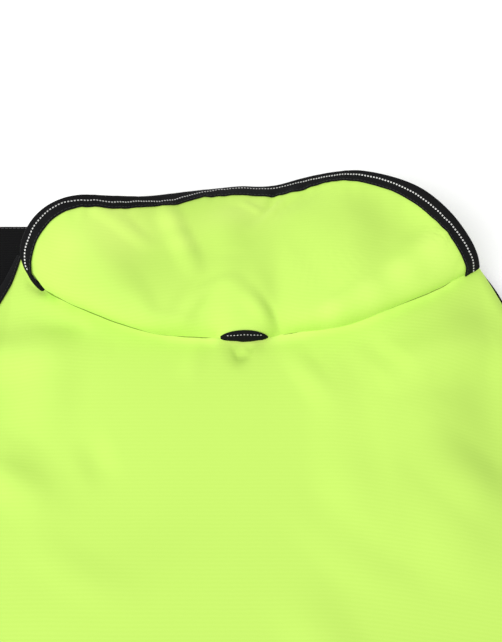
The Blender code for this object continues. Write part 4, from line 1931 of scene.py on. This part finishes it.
@dataclass
class Strap:
    """A flat strap that lies on the surface under the coat."""

    name: str
    node: str
    low_y: float
    high_y: float
    thick: float
    left: tuple[tuple[float, float], ...]
    right: tuple[tuple[float, float], ...]
    corner: float
    round_left: bool
    stitch_in: tuple[float, ...] = (2.2,)
    columns: int = 150
    rows: int = 26
    edge_round: float = 0.7
    dents: float = 0.12

    def ends(self, y: Points) -> tuple[Points, Points]:
        """X of the strap's left and right ends at Y, with the loose end's round corners.

        Args:
            y: Y of each place.

        Returns:
            X of the left end and of the right end.
        """
        left = np.interp(y, [place for _, place in self.left], [x for x, _ in self.left])
        right = np.interp(y, [place for _, place in self.right], [x for x, _ in self.right])
        to_side = np.minimum(y - self.low_y, self.high_y - y)
        into = np.clip(self.corner - to_side, 0, self.corner)
        inset = self.corner - np.sqrt(np.maximum(self.corner**2 - into**2, 0))
        return (left + inset, right) if self.round_left else (left, right - inset)

    def build(self, origin: Vector, palette: Palette) -> bpy.types.Object:
        """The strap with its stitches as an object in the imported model's place.

        Args:
            origin: Where the middle of the lead hole is.
            palette: The coat's materials.

        Returns:
            The new object.
        """
        share = np.linspace(0, 1, self.rows + 1)
        y = self.low_y + (self.high_y - self.low_y) * (0.5 - 0.5 * np.cos(math.pi * share)) ** 0.9
        left, right = self.ends(y)
        t = 0.5 - 0.5 * np.cos(math.pi * np.linspace(0, 1, self.columns + 1))
        x = left[:, None] * (1 - t) + right[:, None] * t
        y = np.repeat(y[:, None], self.columns + 1, axis=1)
        side = np.minimum(y - self.low_y, self.high_y - y)
        end = np.minimum(x - left[:, None], right[:, None] - x)
        fall = 0.45 * self.thick * (1 - ramp(np.minimum(side, end), 0, self.edge_round * 2))
        dents = self.dents * (1 + np.sin(x / 13 + np.sin(y / 9)) * np.sin(y / 7 + x / 31))
        top = np.stack((x, y, self.thick - fall - dents), axis=-1)
        foot = np.stack((x, y, np.zeros_like(x)), axis=-1)
        count = x.size
        numbers = np.arange(count).reshape(x.shape)
        a, b, c, d = numbers[:-1, :-1], numbers[:-1, 1:], numbers[1:, 1:], numbers[1:, :-1]
        skin = np.stack((a, b, c, d), axis=-1).reshape(-1, 4)
        faces = skin.tolist() + (skin[:, ::-1] + count).tolist()
        loop = [*numbers[0], *numbers[1:, -1], *numbers[-1, -2::-1], *numbers[-2:0:-1, 0]]
        faces += [(p, p + count, q + count, q) for p, q in zip(loop, loop[1:] + loop[:1])]
        vertices = np.concatenate((top.reshape(-1, 3), foot.reshape(-1, 3)))
        cloth = np.concatenate((top[..., :2].reshape(-1, 2), foot[..., :2].reshape(-1, 2)))
        body = Body()
        body.add(vertices, cloth, outward_faces(vertices, faces), Layer.BASE)
        up = np.array([0.0, 0.0, 1.0])
        for inset in self.stitch_in:
            for line_y in (self.low_y + inset, self.high_y - inset):
                start, stop = (float(end) for end in self.ends(np.array(line_y)))
                xs = np.linspace(start + 3, stop - 3, 160)
                path = np.stack((xs, np.full_like(xs, line_y), np.full_like(xs, self.thick - 0.15)), axis=1)
                STRAP_STITCHES.sew(body, path, np.tile(up, (len(xs), 1)))
        materials = [palette.webbing, palette.silver, palette.grey_thread]
        return dress(body.make(self.name, origin, materials), self.node)


@dataclass
class DogCoat:
    """The whole coat: its cloth, tapes and straps."""

    form: CoatForm
    origin: Vector
    palette: Palette
    panel_cut: tuple[float, float] = (0.62, 0.68)
    collar_cut: tuple[float, float] = (0.40, 0.18)
    chest_cut: tuple[float, float] = (0.48, 0.075)
    belly_cut: tuple[float, float] = (0.557, 0.040)
    lower_band: float = 4.5
    upper_band: float = 6.7

    def hem(self, panel: Surface) -> FoldedTape:
        """Tape round the panel's sides and tail.

        Args:
            panel: The panel's surface.

        Returns:
            The tape.
        """
        ring = panel.numbers[0]
        bands = np.full(len(ring), self.form.band)
        made = panel.vertices[ring], panel.normals[ring]
        return FoldedTape("hem_tape", "hem_binding", self.form, *made, bands, HEM_DASHES, floor=0.0)

    def collar_edge(self, collar: Surface) -> FoldedTape:
        """Tape from the seam round the collar's left end and along its free edge.

        Args:
            collar: The collar's surface.

        Returns:
            The tape.
        """
        wrap = CollarWrap(collar)
        paths, normals = wrap.read_paths()
        bands = np.array([lengths(path)[-1] for path in paths])
        thinned = np.minimum(0.3 + 0.7 * np.arange(len(paths)) / wrap.end_stations, 1)
        return FoldedTape(
            "collar_tape", "collar_binding", self.form, paths, normals, bands, COLLAR_DASHES, thinned=thinned
        )

    def lip(
        self, name: str, node: str, surface: Surface, numbers: Points, band: float, line: tuple[Mark, ...]
    ) -> FoldedTape:
        """Tape of one lip of the lead hole, widest in its middle.

        Args:
            name: The piece's name.
            node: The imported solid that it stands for.
            surface: The cloth that it is folded round.
            numbers: Vertex numbers, a row from the edge inwards to each station.
            band: How far it reaches onto the cloth in its middle.
            line: Where its dashes run, and how far from the cloth's edge.

        Returns:
            The tape.
        """
        x = surface.vertices[numbers[:, 0], 0]
        inside = np.abs(x) < self.form.lip_half
        numbers, x = numbers[inside], x[inside]
        fullness = np.clip(1 - (x / self.form.lip_half) ** 2, 0, 1)
        bands = band * np.maximum(fullness**0.7, 0.1)
        made = surface.vertices[numbers], surface.normals[numbers]
        thinned = 0.55 + 0.45 * ramp(fullness, 0, 0.45)
        return FoldedTape(
            name, node, self.form, *made, bands, line, FINE_DASHES, stitched=False, thinned=thinned, rows=5
        )

    def build(self) -> None:
        """Build every piece and log the panel's and the collar's areas."""
        form, origin, palette = self.form, self.origin, self.palette
        panel, collar = form.panel(), form.collar()
        LOG.info("panel %.4f m2, collar %.4f m2", panel.area(), collar.area())
        # The panel gets painted light along its seam and painted light and shade spots.
        panel_cloth = ClothPiece("panel_cloth", "back_panel", form, panel, painted_seam_light_reach=12.0, painted_spots=PANEL_PAINTED_LIGHT_AND_SHADE)
        panel_piece = panel_cloth.build(origin, palette)
        left_end = RIBS[0].seam_x, RIBS[0].seam_y
        collar_cloth = ClothPiece("collar_cloth", "collar", form, collar, left_end, painted_spots=COLLAR_PAINTED_LIGHT_AND_SHADE)
        collar_piece = collar_cloth.build(origin, palette)
        SeamShadowThread(form).build(origin, palette)
        hem = self.hem(panel).build(origin, palette)
        edge = self.collar_edge(collar).build(origin, palette)
        at_neck, at_seam = panel.numbers[1].T, collar.numbers[0]
        lower = self.lip("panel_lip_tape", "panel_lip", panel, at_neck, self.lower_band, LOWER_LIP_DASHES)
        upper = self.lip("collar_lip_tape", "collar_lip", collar, at_seam, self.upper_band, UPPER_LIP_DASHES)
        lower, upper = lower.build(origin, palette), upper.build(origin, palette)
        low, high = form.chest_strap_y
        chest = Strap(
            "chest_strap_cloth",
            "chest_strap",
            low,
            high,
            form.chest_strap_thick,
            left=((form.chest_strap_left, low), (form.chest_strap_left, high)),
            right=form.chest_strap_right,
            corner=form.chest_strap_corner,
            round_left=True,
        ).build(origin, palette)
        half = form.belly_strap_wide / 2
        low, high = form.belly_strap_y - half, form.belly_strap_y + half
        belly = Strap(
            "belly_strap_webbing",
            "belly_strap",
            low,
            high,
            form.belly_strap_thick,
            left=((form.belly_strap_x[0], low), (form.belly_strap_x[0], high)),
            right=((form.belly_strap_x[1], low), (form.belly_strap_x[1], high)),
            corner=half,
            round_left=False,
        ).build(origin, palette)


@dataclass(frozen=True)
class Studio:
    """Pale floor, soft light and the camera."""

    eye: tuple[float, float, float] = (5.18, -309.75, 570.18)
    elevation: float = 60.0
    lens: float = 48.5
    sensor: float = 36.0
    floor_size: float = 16.0
    floor_tone: Colour = (0.93, 0.93, 0.93)
    floor_glow: float = 0.17
    sky: float = 0.70
    sun_power: float = 1.45
    sun_height: float = 45.0
    sun_side: float = -34.0
    sun_softness: float = 44.0
    side_place: tuple[float, float, float] = (-1.1, -0.5, 0.9)
    side_size: float = 1.0
    side_power: float = 6.0

    def sun(self) -> None:
        """The main light: wide and soft, from in front and to the left."""
        data = bpy.data.lights.new("main_light", "SUN")
        data.energy, data.angle = self.sun_power, math.radians(self.sun_softness)
        lamp = bpy.data.objects.new("main_light", data)
        lamp.rotation_euler = (math.radians(90 - self.sun_height), 0, math.radians(self.sun_side))
        bpy.context.scene.collection.objects.link(lamp)

    def light(self, target: Vector) -> None:
        """The small square light at the left, which faces the coat.

        Args:
            target: The point that it faces, from which its place is measured.
        """
        data = bpy.data.lights.new("side_light", "AREA")
        data.size, data.energy = self.side_size, self.side_power
        lamp = bpy.data.objects.new("side_light", data)
        lamp.location = target + Vector(self.side_place)
        lamp.rotation_euler = (target - lamp.location).to_track_quat("-Z", "Y").to_euler()
        bpy.context.scene.collection.objects.link(lamp)

    def build(self, origin: Vector) -> None:
        """Lay the floor and set the lights and the camera round the coat.

        Args:
            origin: Where the middle of the lead hole is.
        """
        scene = bpy.context.scene
        scene.view_settings.view_transform = "Standard"
        world = bpy.data.worlds.new("studio_air")
        world.use_nodes = True
        air = world.node_tree.nodes["Background"]
        air.inputs["Color"].default_value = (1, 1, 1, 1)
        air.inputs["Strength"].default_value = self.sky
        scene.world = world
        self.sun()
        self.light(origin)
        half = self.floor_size / 2
        mesh = bpy.data.meshes.new("studio_floor")
        corners = [(-half, -half, 0), (half, -half, 0), (half, half, 0), (-half, half, 0)]
        mesh.from_pydata(corners, [], [(0, 1, 2, 3)])
        made, graph, shader = new_material("pale_paper", self.floor_tone)
        noise = graph.add("ShaderNodeTexNoise", {"Scale": 3.0, "Detail": 2.0})
        dim = tuple(part * 0.99 for part in self.floor_tone)
        pale = graph.blend(noise.outputs["Fac"], (*dim, 1), (*self.floor_tone, 1))
        graph.tree.links.new(pale, shader.inputs["Base Color"])
        shader.inputs["Roughness"].default_value = 0.9
        shader.inputs["Emission Color"].default_value = (1, 1, 1, 1)
        shader.inputs["Emission Strength"].default_value = self.floor_glow
        mesh.materials.append(made)
        floor = bpy.data.objects.new("studio_floor", mesh)
        scene.collection.objects.link(floor)
        data = bpy.data.cameras.new("photo_camera")
        data.lens, data.sensor_width, data.sensor_fit = self.lens, self.sensor, "AUTO"
        data.clip_start = 0.01
        camera = bpy.data.objects.new("photo_camera", data)
        angle = math.radians(self.elevation)
        camera.location = origin + Vector(self.eye) * MM
        camera.rotation_euler = (math.pi / 2 - angle, 0, 0)
        scene.collection.objects.link(camera)
        scene.camera = camera


def lead_hole(form: CoatForm) -> Vector:
    """Place of the lead hole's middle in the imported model, from the chest strap's corner."""
    low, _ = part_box("chest_strap")
    return Vector((low.x - form.chest_strap_left * MM, low.y - form.chest_strap_y[0] * MM, 0.0))


def main() -> None:
    """Build the coat and the studio."""
    logging.basicConfig(level=logging.INFO, format="%(name)s: %(message)s")
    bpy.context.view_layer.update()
    form = CoatForm()
    origin = lead_hole(form)
    DogCoat(form, origin, Palette()).build()
    Studio().build(origin)
    bpy.context.view_layer.update()


if __name__ == "__main__":
    main()
